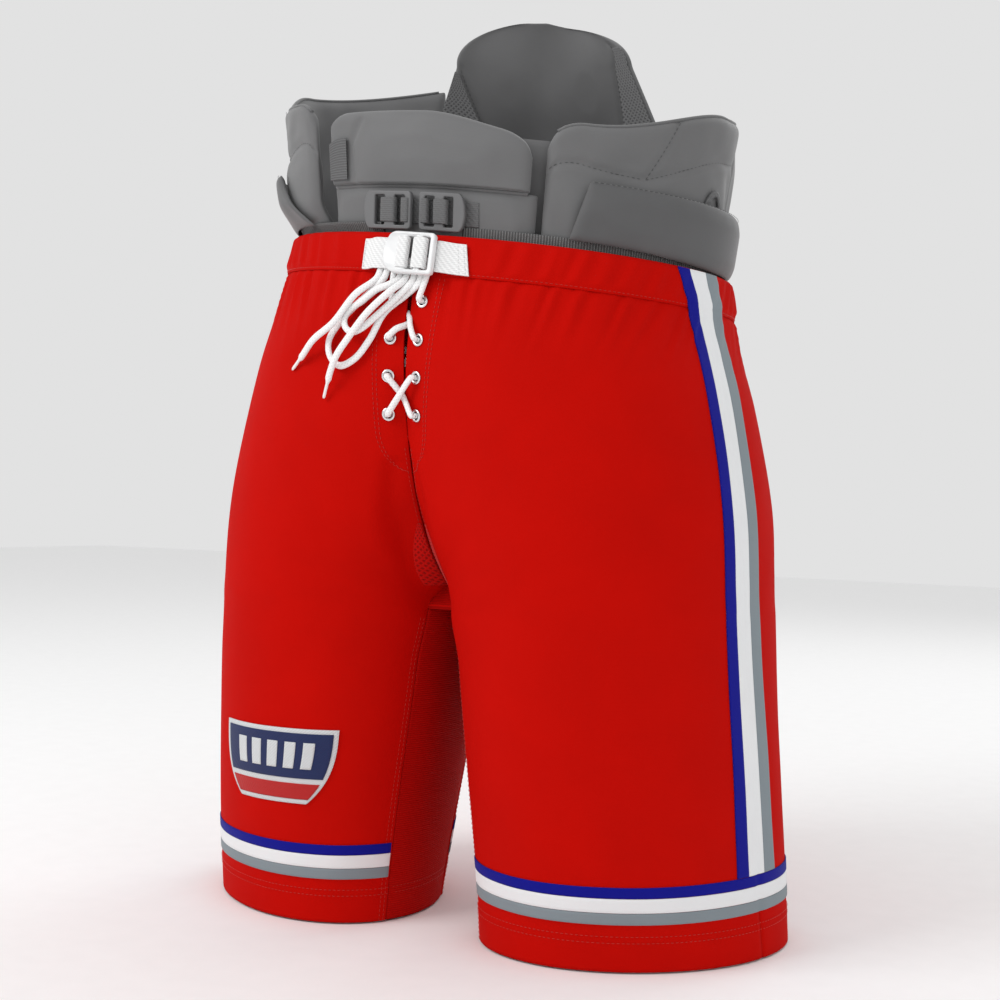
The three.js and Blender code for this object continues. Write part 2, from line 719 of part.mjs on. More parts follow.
function kidneyPads() {
  for (const [name, side] of Object.entries(SIDES)) {
    const [atFront, atSide, atRear] = KIDNEY_TOPS[name];
    const top = (angle) => {
      if (angle > 90) return lerp(atSide, atRear, ((angle - 90) / (KIDNEY_TO - 90)) ** 1.3);
      return lerp(atFront, atSide, smooth(clamp((angle - 40) / 50, 0, 1)));
    };
    const span = { from: KIDNEY_FROM[name], to: KIDNEY_TO, low: 500, top };
    const flare = PAD_FLARE[name];
    const pad = padPanel({ ...span, squareEnd: true, out: -4, flare, side, nu: 14, nv: 6 });
    add(`kidney_pad_${name}`, pad, cloth(PAD_GREY));
  }
}

function frontPads() {
  const bandSpan = { from: -33, to: 29, low: 512, top: ABDOMEN_SEAM_Z - 0.6 };
  const band = padPanel({ ...bandSpan, out: -4, corner: 0.1, nu: 10, nv: 4 });
  add('abdomen_band', band, cloth(PAD_GREY));
  const top = (angle) => ABDOMEN_TOP_Z - 14 * smooth(clamp(angle / 27, 0, 1));
  const pad = padPanel({ from: -31, to: 27, low: ABDOMEN_SEAM_Z, top, out: 2, corner: 22, nu: 12, nv: 6 });
  add('abdomen_pad', pad, cloth(PAD_GREY));
}

function hipWings() {
  for (const [name, side] of Object.entries(SIDES)) {
    const topFrom = side > 0 ? 41 : 56;
    const place = (u, v, inner) => {
      const from = lerp(37, topFrom, v);
      const angle = lerp(from, 118, u);
      const low = lerp(WING.front, WING.side, smooth(clamp((angle - 40) / 50, 0, 1)));
      const z = lerp(low, WING.top, v);
      const rim = Math.min(1, 5 * Math.min(u, 1 - u) + 0.4);
      const face = WING.out + padLean(PAD_FLARE[name], angle, z);
      const point = onPads(angle, z, inner ? face : face + WING.thick * rim);
      point.x *= side;
      return point;
    };
    add(`hip_wing_${name}`, sheetSolid(place, 12, 3, { flip: side < 0 }), cloth(DARK_GREY));
  }
}

// Back panel inside the shell, and the spine pad that folds on its top edge.
function spine() {
  const panelSpan = { from: 143, to: 217, low: 500, top: SPINE_HINGE_Z - 1 };
  const panel = padPanel({ ...panelSpan, out: -4, corner: 0.1, nu: 8, nv: 5 });
  add('back_panel', panel, cloth(PAD_GREY));
  const place = (u, v, inner) => {
    const cap = clamp((v - 0.5) / 0.5, 0, 1);
    const turn = 83 * DEG * cap;
    const { base, cap: widest } = SPINE_HALF_WIDTHS;
    const half = lerp(base, widest, clamp(2 * v, 0, 1)) * Math.cos(turn);
    const straight = lerp(SPINE_HINGE_Z, SPINE_CAP_Z, clamp(2 * v, 0, 1));
    const z = straight + (SPINE_TOP_Z - SPINE_CAP_Z) * Math.sin(turn);
    const x = (2 * u - 1) * half;
    const y = SPINE_Y - 0.0034 * x * x - 0.42 * (z - SPINE_HINGE_Z);
    const rim = Math.min(1, 5 * Math.min(u, 1 - u) + 0.35, 6 * (1 - v) + 0.35);
    return new THREE.Vector3(x + SPINE_SHIFT, y + (inner ? -1 : 1) * 7 * rim, z);
  };
  add('spine_pad', sheetSolid(place, 14, 10, { flip: true }), cloth(PAD_GREY));
}

function innerBuckles() {
  const y = (x, out) => onPads(Math.asin(x / 189) / DEG, INNER_BUCKLES.z, out - 4).y;
  for (const name of Object.keys(SIDES)) {
    const [from, to] = INNER_BUCKLES[name];
    const size = { left: from, right: to, half: 15, thick: 4, tab: 6 };
    const middle = (from + to) / 2;
    const geometry = ladderBuckle(size, INNER_SLOTS).translate(-middle, 0, 0);
    if (name === 'left') geometry.rotateZ(Math.PI).translate(0, -size.thick, 0);
    const slope = Math.atan2(y(to, 0) - y(from, 0), to - from);
    geometry.rotateZ(slope);
    geometry.translate(middle, y(middle, 4.4), INNER_BUCKLES.z);
    add(`inner_buckle_${name}`, geometry, plastic(DARK_GREY));
  }
  const strip = [];
  for (let x = -48; x <= 48; x += 8) strip.push([x, y(x, 1.6)]);
  add('inner_webbing', webbing(strip, 1.4, INNER_BUCKLES.z - 9.5, INNER_BUCKLES.z + 9.5), cloth(DARK_GREY));
}

// ---- Inner pants: liner and guards inside the shell ------------------------------------------
function innerShorts() {
  for (const [name, side] of Object.entries(SIDES)) {
    const liner = clothPanel(side, {
      low: 70,
      high: 480,
      from: (z) => (z > CROTCH_Z + 30 ? middleAngle(z) + 2 : -84),
      to: (z) => (z > CROTCH_Z + 30 ? backMiddle(z) - 2 : 264),
      out: always(-24),
      thick: 2.4,
      nu: 18,
      nv: 8,
    });
    add(`liner_${name}`, liner, cloth(DARK_GREY));
    const guard = clothPanel(side, {
      low: 78,
      high: 375,
      from: always(-18),
      to: always(54),
      out: always(-8),
      thick: 12,
      nu: 8,
      nv: 6,
    });
    add(`thigh_guard_${name}`, guard, plastic(DARK_GREY));
  }
}

// Strip of mesh that joins the legs under the crotch.
function crotchGusset() {
  const low = CROTCH_Z + FIT;
  const place = (u, v, inner) => {
    const y = lerp(-64, 36, v);
    const half = 16 - 8 * Math.abs(2 * v - 1);
    return new THREE.Vector3(lerp(-half, half, u), y, inner ? low : low + SHELL_THICK);
  };
  add('crotch_gusset', sheetSolid(place, 2, 6), cloth(DARK_RED));
}

shellPanels();
waistband();
sideStripes();
hemStripes();
thighPatch();
fly();
eyelets();
laces();
belt();
kidneyPads();
frontPads();
hipWings();
spine();
innerBuckles();
crotchGusset();
innerShorts();

export default pants;
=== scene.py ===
"""Ice hockey pants: a red striped shell with a laced fly and a belt, over padded inner pants."""
import math
from functools import lru_cache

import bpy
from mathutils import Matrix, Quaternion, Vector, noise


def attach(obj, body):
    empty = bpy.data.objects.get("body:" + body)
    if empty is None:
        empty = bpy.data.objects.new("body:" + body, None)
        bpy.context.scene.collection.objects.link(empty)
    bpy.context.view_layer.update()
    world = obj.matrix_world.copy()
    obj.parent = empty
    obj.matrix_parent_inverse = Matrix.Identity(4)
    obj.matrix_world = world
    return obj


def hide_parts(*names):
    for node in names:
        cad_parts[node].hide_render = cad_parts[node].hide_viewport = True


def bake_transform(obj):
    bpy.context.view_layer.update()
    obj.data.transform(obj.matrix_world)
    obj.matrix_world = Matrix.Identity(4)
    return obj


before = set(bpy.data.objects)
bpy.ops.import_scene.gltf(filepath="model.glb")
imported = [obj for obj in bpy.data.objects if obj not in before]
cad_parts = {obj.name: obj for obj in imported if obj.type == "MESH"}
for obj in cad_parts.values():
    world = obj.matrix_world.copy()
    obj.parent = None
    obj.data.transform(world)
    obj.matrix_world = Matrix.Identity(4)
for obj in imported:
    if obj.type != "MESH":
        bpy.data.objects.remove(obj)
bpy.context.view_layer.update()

# ---- Dimensions, in millimetres unless a name says otherwise ---------------------------------
# +Z is up, +X the wearer's left, the front faces -Y and the leg hems stand on Z = 0.
MM = 0.001
FIT = 0.4  # between neighbouring pieces
LAYER = 1.3  # one ply of the casing or the fly
CENTRE_GAP = 0.05  # from each half of the shell to the middle plane
ORIGIN_Y = -4.9
WAIST_LEAN = 0.11  # drop of the waist towards the wearer's left, per unit of width
LEAN_FROM_Z = 270

# Height, half width, front, back, skew of each leg and the angle where the side stripes start.
SECTIONS = [
    dict(z=0, outer=257, front=-123, back=88, skew=0.27, stripe=60),
    dict(z=130, outer=249, front=-144, back=110, skew=0.19, stripe=64),
    dict(z=259, outer=240, front=-158, back=132, skew=0.12, stripe=66),
    dict(z=348, outer=233, front=-164, back=158, skew=0.06, stripe=68),
    dict(z=440, outer=216, front=-160, back=174, skew=0.02, stripe=70),
    dict(z=500, outer=199, front=-148, back=172, skew=0, stripe=71),
    dict(z=548, outer=191, front=-138, back=166, skew=0, stripe=67),
]
CROTCH_Z = 256
WAIST_Z = 548
SEAT_Z = CROTCH_Z + 18  # from here up the two legs' panels meet in the middle
HEM_LEG_CENTRE = 145
CROTCH_BLEND = 0.45
CROTCH_EASE = 0.07
LEG_CLEARANCE = 2
LEG_MEET = 45

SHELL_THICK = 2
SHELL_TOP_Z = 520
SIDE_SEAM_OFFSET = 21
STRIPE_WIDTHS = {"blue": 11, "white": 17, "grey": 15}
STRIPE_THICK = 0.8
HEM_BANDS = {"blue": (56, 64), "white": (45, 55.6), "grey": (36, 44.6)}
HEM_STITCHES = (22, 27)
GUSSET_HALF_ANGLE = 25
FRONT_INSEAM = -90 + GUSSET_HALF_ANGLE
BACK_INSEAM = 270 - GUSSET_HALF_ANGLE
WAISTBAND_Z = 516
GATHER_DEPTH = 2.5
GATHER_CALM = 42  # the gathers fade over this distance from the side seam
ELASTIC_Z = (523.5, 543.5)
FLY_END_Z = 386
FLY_HALF_GAP = 4
FLY_FACING_WIDTH = 25

EYELET_X = 12.5
EYELET_ROWS = [495, 465, 436, 407]
EYELET_HOLE = 4.1
LACE_TOP_Z = 518.6
LACE_HALF_WIDTH = 2.7
LACED_HALF_WIDTH = 2.5
LACE_HALF_THICK = 1.9
AGLET_LENGTH = 12

BELT_Z = 528.5
BELT_LEAN = math.radians(11)
WEBBING_WIDTH = 25
WEBBING_THICK = 1.5
SEWN_FACE = 1 + 2 * LAYER
BELT_STANDOFF = 9.5
BUCKLE_THICK = 5
BUCKLE_MIDDLE = 9

RING_Y = 13
RING_RADII = (186, 146)
RING_GROWTH = (18, 3)
RING_TOP_Z = 670
PAD_FOOT_Z = 500
PAD_THICK = 10.5
PAD_RIM = 9.0
PAD_STITCH = (3.0, 1.4, 0.35)
RING_OUT = -10
ABDOMEN_OUT = -4
WING_OUT = 3.6
KIDNEY_TOPS = {"left": (644, 674, 696), "right": (656, 688, 722)}
KIDNEY_FROM = {"left": 30.5, "right": 35}
KIDNEY_TO = 140
PAD_FLARE = {"left": 0, "right": 13}
ABDOMEN_SEAM_Z = 587
ABDOMEN_TOP_Z = 645
WING_LOW_Z = (554, 549.5)
WING_TOP_Z = 600
SPINE_HINGE_Z = 672
SPINE_CAP_Z = 737
SPINE_TOP_Z = 779
SPINE_SHIFT = -10
SPINE_Y = 143
SPINE_BEND = ((0, SPINE_Y, SPINE_HINGE_Z - 1), (3.3, SPINE_Y, SPINE_HINGE_Z + 32))
INNER_BUCKLE_Z = 566
INNER_BUCKLES = {"right": (-46, -6), "left": (1, 34)}
BELT_SLOTS = ((0.25, 0.5), (0.66, 0.88))
INNER_SLOTS = ((0.12, 0.36), (0.6, 0.86))

SIDES = {"left": 1, "right": -1}
UP = Vector((0, 0, 1))

# ---- Small maths -----------------------------------------------------------------------------


def lerp(a, b, k):
    return a + (b - a) * k


def clamp(v, low=0.0, high=1.0):
    return min(high, max(low, v))


def smooth(k):
    k = clamp(k)
    return k * k * (3 - 2 * k)


def bump(distance, width):
    return math.exp(-((distance / width) ** 2))


def metres(p):
    """A point in millimetres of the upright garment, in metres of the frame, with the waist's lean."""
    share = smooth((p[2] - LEAN_FROM_Z) / (WAIST_Z - LEAN_FROM_Z))
    return Vector((p[0], p[1] + ORIGIN_Y, p[2] - WAIST_LEAN * share * p[0])) * MM


# ---- Camera: level but slightly rolled, 28 degrees to the wearer's left of the front ------------
CAMERA_AZIMUTH = math.radians(28)
CAMERA_DISTANCE = 1.28
CAMERA_HEIGHT = 0.344
CAMERA_SHIFT = 0.0043
CAMERA_ROLL = math.radians(1.4)
CAMERA_LENS = 54
CAMERA_SENSOR = 36


def make_camera():
    data = bpy.data.cameras.new("camera")
    data.lens = CAMERA_LENS
    data.sensor_width = CAMERA_SENSOR
    camera = bpy.data.objects.new("camera", data)
    bpy.context.scene.collection.objects.link(camera)
    across, along = math.sin(CAMERA_AZIMUTH), math.cos(CAMERA_AZIMUTH)
    camera.location = (
        CAMERA_DISTANCE * across + CAMERA_SHIFT * along,
        -CAMERA_DISTANCE * along + CAMERA_SHIFT * across + ORIGIN_Y * MM,
        CAMERA_HEIGHT,
    )
    aim = Vector((-across, along, 0)).to_track_quat("-Z", "Y")
    camera.rotation_euler = (aim @ Quaternion((0, 0, 1), CAMERA_ROLL)).to_euler()
    bpy.context.scene.camera = camera


make_camera()

# ---- Body of the garment ---------------------------------------------------------------------


def section_value(z, key):
    """One column of SECTIONS at a height, on a Catmull-Rom curve through the rows."""
    last = len(SECTIONS) - 1
    i = 0
    while i < last - 1 and z > SECTIONS[i + 1]["z"]:
        i += 1

    def slope(k):
        low, high = SECTIONS[max(0, k - 1)], SECTIONS[min(last, k + 1)]
        return (high[key] - low[key]) / (high["z"] - low["z"])

    a, b = SECTIONS[i], SECTIONS[i + 1]
    span = b["z"] - a["z"]
    k = clamp((z - a["z"]) / span)
    h01 = smooth(k)
    h10 = k * (1 - k) * (1 - k)
    h11 = k * k * (k - 1)
    return (1 - h01) * a[key] + h01 * b[key] + span * (h10 * slope(i) + h11 * slope(i + 1))


@lru_cache(maxsize=None)
def section(z):
    """Centre x and y, half sizes and skew of one leg's ellipse at a height."""
    outer = section_value(z, "outer")
    front_y = section_value(z, "front")
    back_y = section_value(z, "back")
    if z >= CROTCH_Z:
        rise = (z - CROTCH_Z) / (WAIST_Z - CROTCH_Z)
        rise *= rise / (rise + CROTCH_EASE)
        opened = math.sin(math.pi / 2 * min(1, rise) ** CROTCH_BLEND)
        half = outer / (1 + math.sqrt(max(0, 1 - opened * opened)))
    else:
        crotch_half = section_value(CROTCH_Z, "outer") / 2 - LEG_CLEARANCE
        hem_half = section_value(0, "outer") - HEM_LEG_CENTRE
        half = lerp(hem_half, crotch_half, smooth(z / CROTCH_Z))
        half += LEG_CLEARANCE * smooth((z - CROTCH_Z + LEG_MEET) / LEG_MEET)
    centre_y, half_depth = (front_y + back_y) / 2, (back_y - front_y) / 2
    return outer - half, centre_y, half, half_depth, section_value(z, "skew")


def on_shell(angle, z, out, side=1):
    """A point at an angle (0 front, 90 outer side, 180 back) and a distance outside the shell."""
    cx, cy, a, b, skew = section(z)
    t = math.radians(angle)
    dx = (a + out) * math.sin(t)
    return Vector((side * (cx + dx + CENTRE_GAP), cy - (b + out) * math.cos(t) + skew * dx, z))


def all_round(turn, z, out):
    """A point above the crotch at an angle from 0 to 360, without the gap at the middle."""
    side = 1 if turn <= 180 else -1
    p = on_shell(turn if turn <= 180 else 360 - turn, z, out)
    return Vector((side * (p.x - CENTRE_GAP), p.y, p.z))


@lru_cache(maxsize=None)
def middle_angle(z):
    """Angle of the front middle at a height; below the crotch it is the inseam."""
    if z <= CROTCH_Z:
        return -90
    cx, _, a, _, _ = section(z)
    return -math.degrees(math.asin(clamp(cx / a, -1, 1)))


def back_middle(z):
    return 180 - middle_angle(z)


@lru_cache(maxsize=None)
def along_shell(z, distance):
    """The angle that a distance along the cloth takes."""
    return distance / (section(z)[3] * 0.9 * math.radians(1))


@lru_cache(maxsize=None)
def stripe_start(z):
    return section_value(z, "stripe")


def side_seam(z):
    return stripe_start(z) + along_shell(z, SIDE_SEAM_OFFSET)


def front(x, z, out):
    """A point of the front surface above the crotch, at a distance x from the middle plane."""
    cx, cy, a, b, skew = section(z)
    k = clamp((abs(x) - cx) / a, -1, 1)
    return Vector((x, cy - (b + out) * math.sqrt(1 - k * k) + skew * (abs(x) - cx), z))


def fly_gap(z):
    rise = clamp((z - FLY_END_Z) / (EYELET_ROWS[1] - FLY_END_Z))
    return 1.5 * rise * rise


def fly_edge(z):
    return middle_angle(z) + (along_shell(z, fly_gap(z)) if z > FLY_END_Z else 0)


def seat_edge(z, edge):
    """Joins the leg below the crotch and the seat above it, so that a panel has one outline."""
    if z >= SEAT_Z or z <= CROTCH_Z:
        return edge(z)
    return lerp(edge(CROTCH_Z), edge(SEAT_Z), (z - CROTCH_Z) / (SEAT_Z - CROTCH_Z))


def inseam_front(z):
    return seat_edge(z, lambda h: FRONT_INSEAM if h <= CROTCH_Z else fly_edge(h))


def inseam_back(z):
    return seat_edge(z, lambda h: BACK_INSEAM if h <= CROTCH_Z else back_middle(h))


# ---- Folds of the cloth ----------------------------------------------------------------------
# Each long fold runs between two (distance from the front middle, height) points: width and depth.
FRONT_FOLDS = [
    ((5, 392), (20, 330), 7, -1.8),
    ((14, 384), (44, 300), 10, 1.5),
    ((3, 340), (34, 268), 9, -1.5),
    ((30, 470), (84, 402), 13, -1.3),
    ((58, 496), (120, 440), 11, 1.2),
    ((22, 262), (92, 330), 15, -1.4),
    ((60, 235), (150, 300), 22, 1.2),
]
BACK_FOLDS = [
    ((6, 330), (60, 290), 14, -1.8),
    ((10, 290), (96, 338), 18, 1.5),
    ((40, 470), (110, 420), 16, -1.4),
    ((24, 402), (120, 372), 20, 1.4),
    ((30, 250), (110, 190), 22, -1.3),
]


def fold_sum(folds, s, z, shift):
    total = 0
    for (s0, z0), (s1, z1), width, depth in folds:
        ds, dz = s1 - s0, z1 - z0
        k = ((s - s0) * ds + (z - z0) * dz) / (ds * ds + dz * dz)
        near = clamp(k, -0.25, 1.25)
        away = math.hypot(s - s0 - near * ds + shift, z - z0 - near * dz)
        total += depth * bump(away, width) * smooth(1.4 * (1.25 - abs(2 * near - 1)))
    return total


def gathers(s, z):
    """Gathers that the waist elastic pulls into the cloth, from -1 to 1."""
    drift = 2.6 * noise.noise(Vector((s * 0.03, z * 0.012, 3.1)))
    uneven = 0.65 + 0.9 * abs(noise.noise(Vector((s * 0.024, 4.2, 0.6))))
    return uneven * (math.sin(s / 2.5 + drift) * 0.6 + math.sin(s / 1.5 + 2 * drift) * 0.4)


def shell_lift(side, angle, z):
    """How far the cloth stands off its smooth surface: folds, gathers below the waist, seams."""
    z = clamp(z, 0, WAIST_Z)
    per_mm = along_shell(z, 1)
    s = (angle - middle_angle(z)) / per_mm
    back_s = (back_middle(z) - angle) / per_mm
    seam_s = (angle - side_seam(z)) / per_mm
    shift = 4 * side
    wave = 1.5 * noise.noise(Vector((s * 0.011, z * 0.006, 7.3 + 4 * side)))
    wave += 0.5 * noise.noise(Vector((s * 0.032, z * 0.011, 1.7 - 3 * side)))
    hang = 0.9 * math.sin(s / 27 + 1.3 * side) * smooth((300 - z) / 300) * smooth(z / 40)
    if s < back_s:
        wave += fold_sum(FRONT_FOLDS, s, z, shift)
        clear = smooth((s - 17) / 14) if z > FLY_END_Z - 12 else 1
        if side < 0:  # the wearer's right thigh sinks in beside the centre seam
            wave -= 5 * bump(s - 20, 17) * bump(z - 318, 46)
    else:
        wave += fold_sum(BACK_FOLDS, back_s, z, shift)
        clear = 1
    low_edge = 0.35 + 0.65 * smooth(z / 60)
    total = (wave + hang) * low_edge * clear * smooth((WAISTBAND_Z + 4 - z) / 26)
    pull = bump(z - (WAISTBAND_Z - 3), 34) * smooth((WAISTBAND_Z + 2 - z) / 7)
    total += GATHER_DEPTH * gathers(s, z) * pull * clear * (1 - 0.85 * bump(seam_s, GATHER_CALM))
    total -= 0.7 * bump(seam_s, 2.2)
    total -= 0.5 * bump(s, 1.6) * (1 if z < FLY_END_Z else 0)
    total -= 0.6 * bump(back_s, 1.8)
    if z <= CROTCH_Z:
        total -= 0.6 * (bump(s - 25 / per_mm, 2.4) + bump(back_s - 25 / per_mm, 2.4))
    total += 0.5 * (1 - smooth((z - 27) / 3))
    return total


def band_lift(side, angle, z):
    """Gathers of the waistband casing, flat where it is stitched."""
    s = (angle - middle_angle(z)) / along_shell(z, 1)
    free = smooth((z - WAISTBAND_Z - 1) / 8) * smooth((WAIST_Z + 3 - z) / 8)
    calm = lerp(0.3, 1, smooth((s - 40) / 25))
    calm *= 1 - 0.8 * bump((angle - side_seam(z)) / along_shell(z, 1), GATHER_CALM)
    soft = math.sin(s / 2.7 + 3.0 * noise.noise(Vector((s * 0.021, 5.0 + side, 0))))
    return free * (0.9 * calm + calm * (1.3 * soft + 0.8 * gathers(s, z)))


def band_out(z):
    """The waistband's outer face: sewn down along its lower edge, free above it."""
    return lerp(1.1, 2.3, smooth((z - WAISTBAND_Z) / 6))


def stripe_out(z):
    return STRIPE_THICK + 0.1 + band_out(z) * smooth((z - WAISTBAND_Z + 5) / 4.5)


# ---- Materials -------------------------------------------------------------------------------


class Shader:
    """A Principled material. Sockets take values or the outputs of other nodes."""

    def __init__(self, name, color, roughness, metallic=0.0, sheen=0.0, coat=0.0, specular=0.5):
        self.material = bpy.data.materials.new(name)
        self.material.use_nodes = True
        self.tree = self.material.node_tree
        self.color = color
        self.put(self.tree.nodes["Principled BSDF"], {
            "Base Color": (*color, 1),
            "Roughness": roughness,
            "Metallic": metallic,
            "Sheen Weight": sheen,
            "Sheen Roughness": 0.4,
            "Coat Weight": coat,
            "Specular IOR Level": specular,
        })

    def put(self, node, sockets):
        for key, value in sockets.items():
            if isinstance(value, bpy.types.NodeSocket):
                self.tree.links.new(value, node.inputs[key])
            else:
                node.inputs[key].default_value = value

    def surface(self, socket, value):
        self.put(self.tree.nodes["Principled BSDF"], {socket: value})

    def add(self, kind, sockets, output=0, **settings):
        made = self.tree.nodes.new("ShaderNode" + kind)
        for key, value in settings.items():
            setattr(made, key, value)
        self.put(made, sockets)
        return made.outputs[output]

    def math(self, operation, a, b):
        return self.add("Math", {0: a, 1: b}, operation=operation)

    def vector(self, source="weave", scale=(1, 1, 1)):
        """The cloth's own millimetre coordinates, or object coordinates, scaled."""
        if source == "weave":
            start = self.add("Attribute", {}, "Vector", attribute_name="weave")
        else:
            start = self.add("TexCoord", {}, "Object")
        return self.add("Mapping", {"Scale": scale, "Vector": start})

    def noise(self, vector, scale, detail=3.0):
        sockets = {"Scale": scale, "Detail": detail, "Roughness": 0.55, "Vector": vector}
        return self.add("TexNoise", sockets, "Fac")

    def wave(self, vector, scale, direction):
        sockets = {"Scale": scale, "Vector": vector}
        return self.add("TexWave", sockets, "Fac", bands_direction=direction, wave_profile="SIN")

    def tint(self, factor, spread):
        """Colour variation around the base colour, driven by a factor from 0 to 1."""
        ramp = self.tree.nodes.new("ShaderNodeValToRGB")
        for element, sign in zip(ramp.color_ramp.elements, (-1, 1)):
            element.color = (*(clamp(c * (1 + sign * spread)) for c in self.color), 1)
            element.position = 0.5 + 0.25 * sign
        self.put(ramp, {"Fac": factor})
        self.surface("Base Color", ramp.outputs["Color"])

    def relief(self, height, strength, distance_mm):
        sockets = {"Strength": strength, "Distance": distance_mm * MM, "Height": height}
        self.surface("Normal", self.add("Bump", sockets))

    def gloss(self, factor, low, high):
        """Roughness between two values, driven by a factor from 0 to 1."""
        self.surface("Roughness", self.add("MapRange", {"To Min": low, "To Max": high, "Value": factor}))


WAVE_PER_MM = 1 / 20 * 2 * math.pi  # scale of a wave texture whose bands repeat every millimetre


def knit(name, color, thread=0.8, depth=0.12, sheen=0.12, spread=0.06, specular=0.14):
    """Close polyester knit: fine loops in columns, and a soft unevenness."""
    m = Shader(name, color, 0.82, sheen=sheen, specular=specular)
    columns = m.wave(m.vector(), WAVE_PER_MM / thread, "X")
    rows = m.wave(m.vector(), WAVE_PER_MM / (thread * 1.2), "Y")
    loops = m.math("MULTIPLY", columns, rows)
    fuzz = m.noise(m.vector(), 1.6, 4.0)
    height = m.math("ADD", loops, m.math("MULTIPLY", fuzz, 0.5))
    m.relief(height, 0.55, depth)
    broad = m.noise(m.vector(), 0.016, 3.0)
    shade = m.math("ADD", m.math("MULTIPLY", broad, 0.75), m.math("MULTIPLY", loops, 0.25))
    m.tint(shade, spread)
    m.gloss(fuzz, 0.7, 0.92)
    return m.material


def rib_mesh(name, color, pitch, depth, direction, spread):
    """Ribbed mesh: raised ribs with small holes between them."""
    m = Shader(name, color, 0.85, specular=0.08)
    ribs = m.wave(m.vector(), WAVE_PER_MM / pitch, direction)
    other = "X" if direction == "Y" else "Y"
    holes = m.wave(m.vector(), WAVE_PER_MM / (pitch * 0.6), other)
    height = m.math("ADD", ribs, m.math("MULTIPLY", m.math("MULTIPLY", ribs, holes), 0.5))
    m.relief(height, 0.8, depth)
    m.tint(m.math("MULTIPLY", height, 0.66), spread)
    m.gloss(holes, 0.75, 0.95)
    return m.material


def diamond_mesh(name, color, pitch=2.6, depth=0.45, spread=0.3):
    """Open mesh of crossing diagonal threads."""
    m = Shader(name, color, 0.88, sheen=0.08, specular=0.2)
    vector = m.vector()
    one = m.wave(vector, WAVE_PER_MM / pitch, "DIAGONAL")
    mirrored = m.wave(m.vector(scale=(-1, 1, 1)), WAVE_PER_MM / pitch, "DIAGONAL")
    height = m.math("MAXIMUM", one, mirrored)
    m.relief(height, 0.8, depth)
    m.tint(height, spread)
    return m.material


def nylon(name, color):
    """Plain woven nylon over foam, in object coordinates, so that no unwrapping shows."""
    m = Shader(name, color, 0.6, sheen=0.25, specular=0.35)
    place = m.vector("object")
    yarns = m.add("TexVoronoi", {"Scale": 1500.0, "Vector": place}, "Distance")
    slubs = m.noise(m.vector("object", (1, 1, 4)), 240.0, 4.0)
    dimples = m.noise(place, 26.0)
    m.relief(m.math("ADD", m.math("MULTIPLY", yarns, 0.6), slubs), 0.5, 0.1)
    m.tint(m.math("ADD", m.math("MULTIPLY", dimples, 0.6), m.math("MULTIPLY", slubs, 0.4)), 0.07)
    m.gloss(slubs, 0.5, 0.75)
    return m.material


def woven_strap(name, color, pitch=1.6, depth=0.35):
    """Webbing: a herringbone of thick yarn."""
    m = Shader(name, color, 0.7, sheen=0.15, specular=0.3)
    vector = m.vector()
    rows = m.wave(vector, WAVE_PER_MM / pitch, "Y")
    slant = m.wave(vector, WAVE_PER_MM / (pitch * 1.5), "DIAGONAL")
    height = m.math("ADD", m.math("MULTIPLY", rows, 0.6), m.math("MULTIPLY", slant, 0.6))
    m.relief(height, 0.9, depth)
    m.tint(m.math("MULTIPLY", height, 0.83), 0.1)
    m.gloss(slant, 0.6, 0.85)
    return m.material


def braid(name, color):
    """Flat braided lace: yarns crossing along its length, with a groove down the middle."""
    m = Shader(name, color, 0.62, sheen=0.2, specular=0.35)
    one = m.wave(m.vector(), WAVE_PER_MM / 1.5, "DIAGONAL")
    other = m.wave(m.vector(scale=(-1, 1, 1)), WAVE_PER_MM / 1.5, "DIAGONAL")
    height = m.math("MAXIMUM", one, other)
    m.relief(height, 0.6, 0.16)
    m.tint(height, 0.08)
    m.gloss(one, 0.5, 0.72)
    return m.material


def moulded(name, color, roughness, coat=0.0):
    """Injection-moulded plastic: a fine spark texture, slightly worn and uneven."""
    m = Shader(name, color, roughness, coat=coat)
    grain = m.noise(m.vector("object"), 2600.0, 2.0)
    wear = m.noise(m.vector("object"), 60.0, 4.0)
    m.relief(grain, 0.25, 0.05)
    m.tint(wear, 0.06)
    m.gloss(wear, roughness - 0.08, roughness + 0.12)
    return m.material


def nickel(name, color):
    """Polished nickel with fine scratches and a dull film in places."""
    m = Shader(name, color, 0.22, metallic=1.0)
    scratches = m.noise(m.vector("object", (1, 1, 12)), 900.0, 3.0)
    film = m.noise(m.vector("object"), 170.0, 3.0)
    m.relief(scratches, 0.15, 0.03)
    m.tint(film, 0.12)
    m.gloss(film, 0.14, 0.34)
    return m.material


def thread(name, color):
    """Twisted sewing thread."""
    m = Shader(name, color, 0.6, sheen=0.2, specular=0.35)
    twist = m.noise(m.vector("object"), 3000.0, 2.0)
    m.relief(twist, 0.4, 0.08)
    m.tint(twist, 0.1)
    return m.material


RED = (0.51, 0.0025, 0.0004)
# Red of the mesh panels between the legs: the mesh's own darker red, made deeper still as painted shade of
# the valley between the legs.
MESH_RED_WITH_PAINTED_SHADE = (0.44, 0.002, 0.0004)
NAVY = (0.0035, 0.0045, 0.24)
WHITE = (0.79, 0.80, 0.81)
SILVER_GREY = (0.225, 0.262, 0.285)
PAD_GREY = (0.135, 0.135, 0.137)
DARK_GREY = (0.096, 0.096, 0.098)

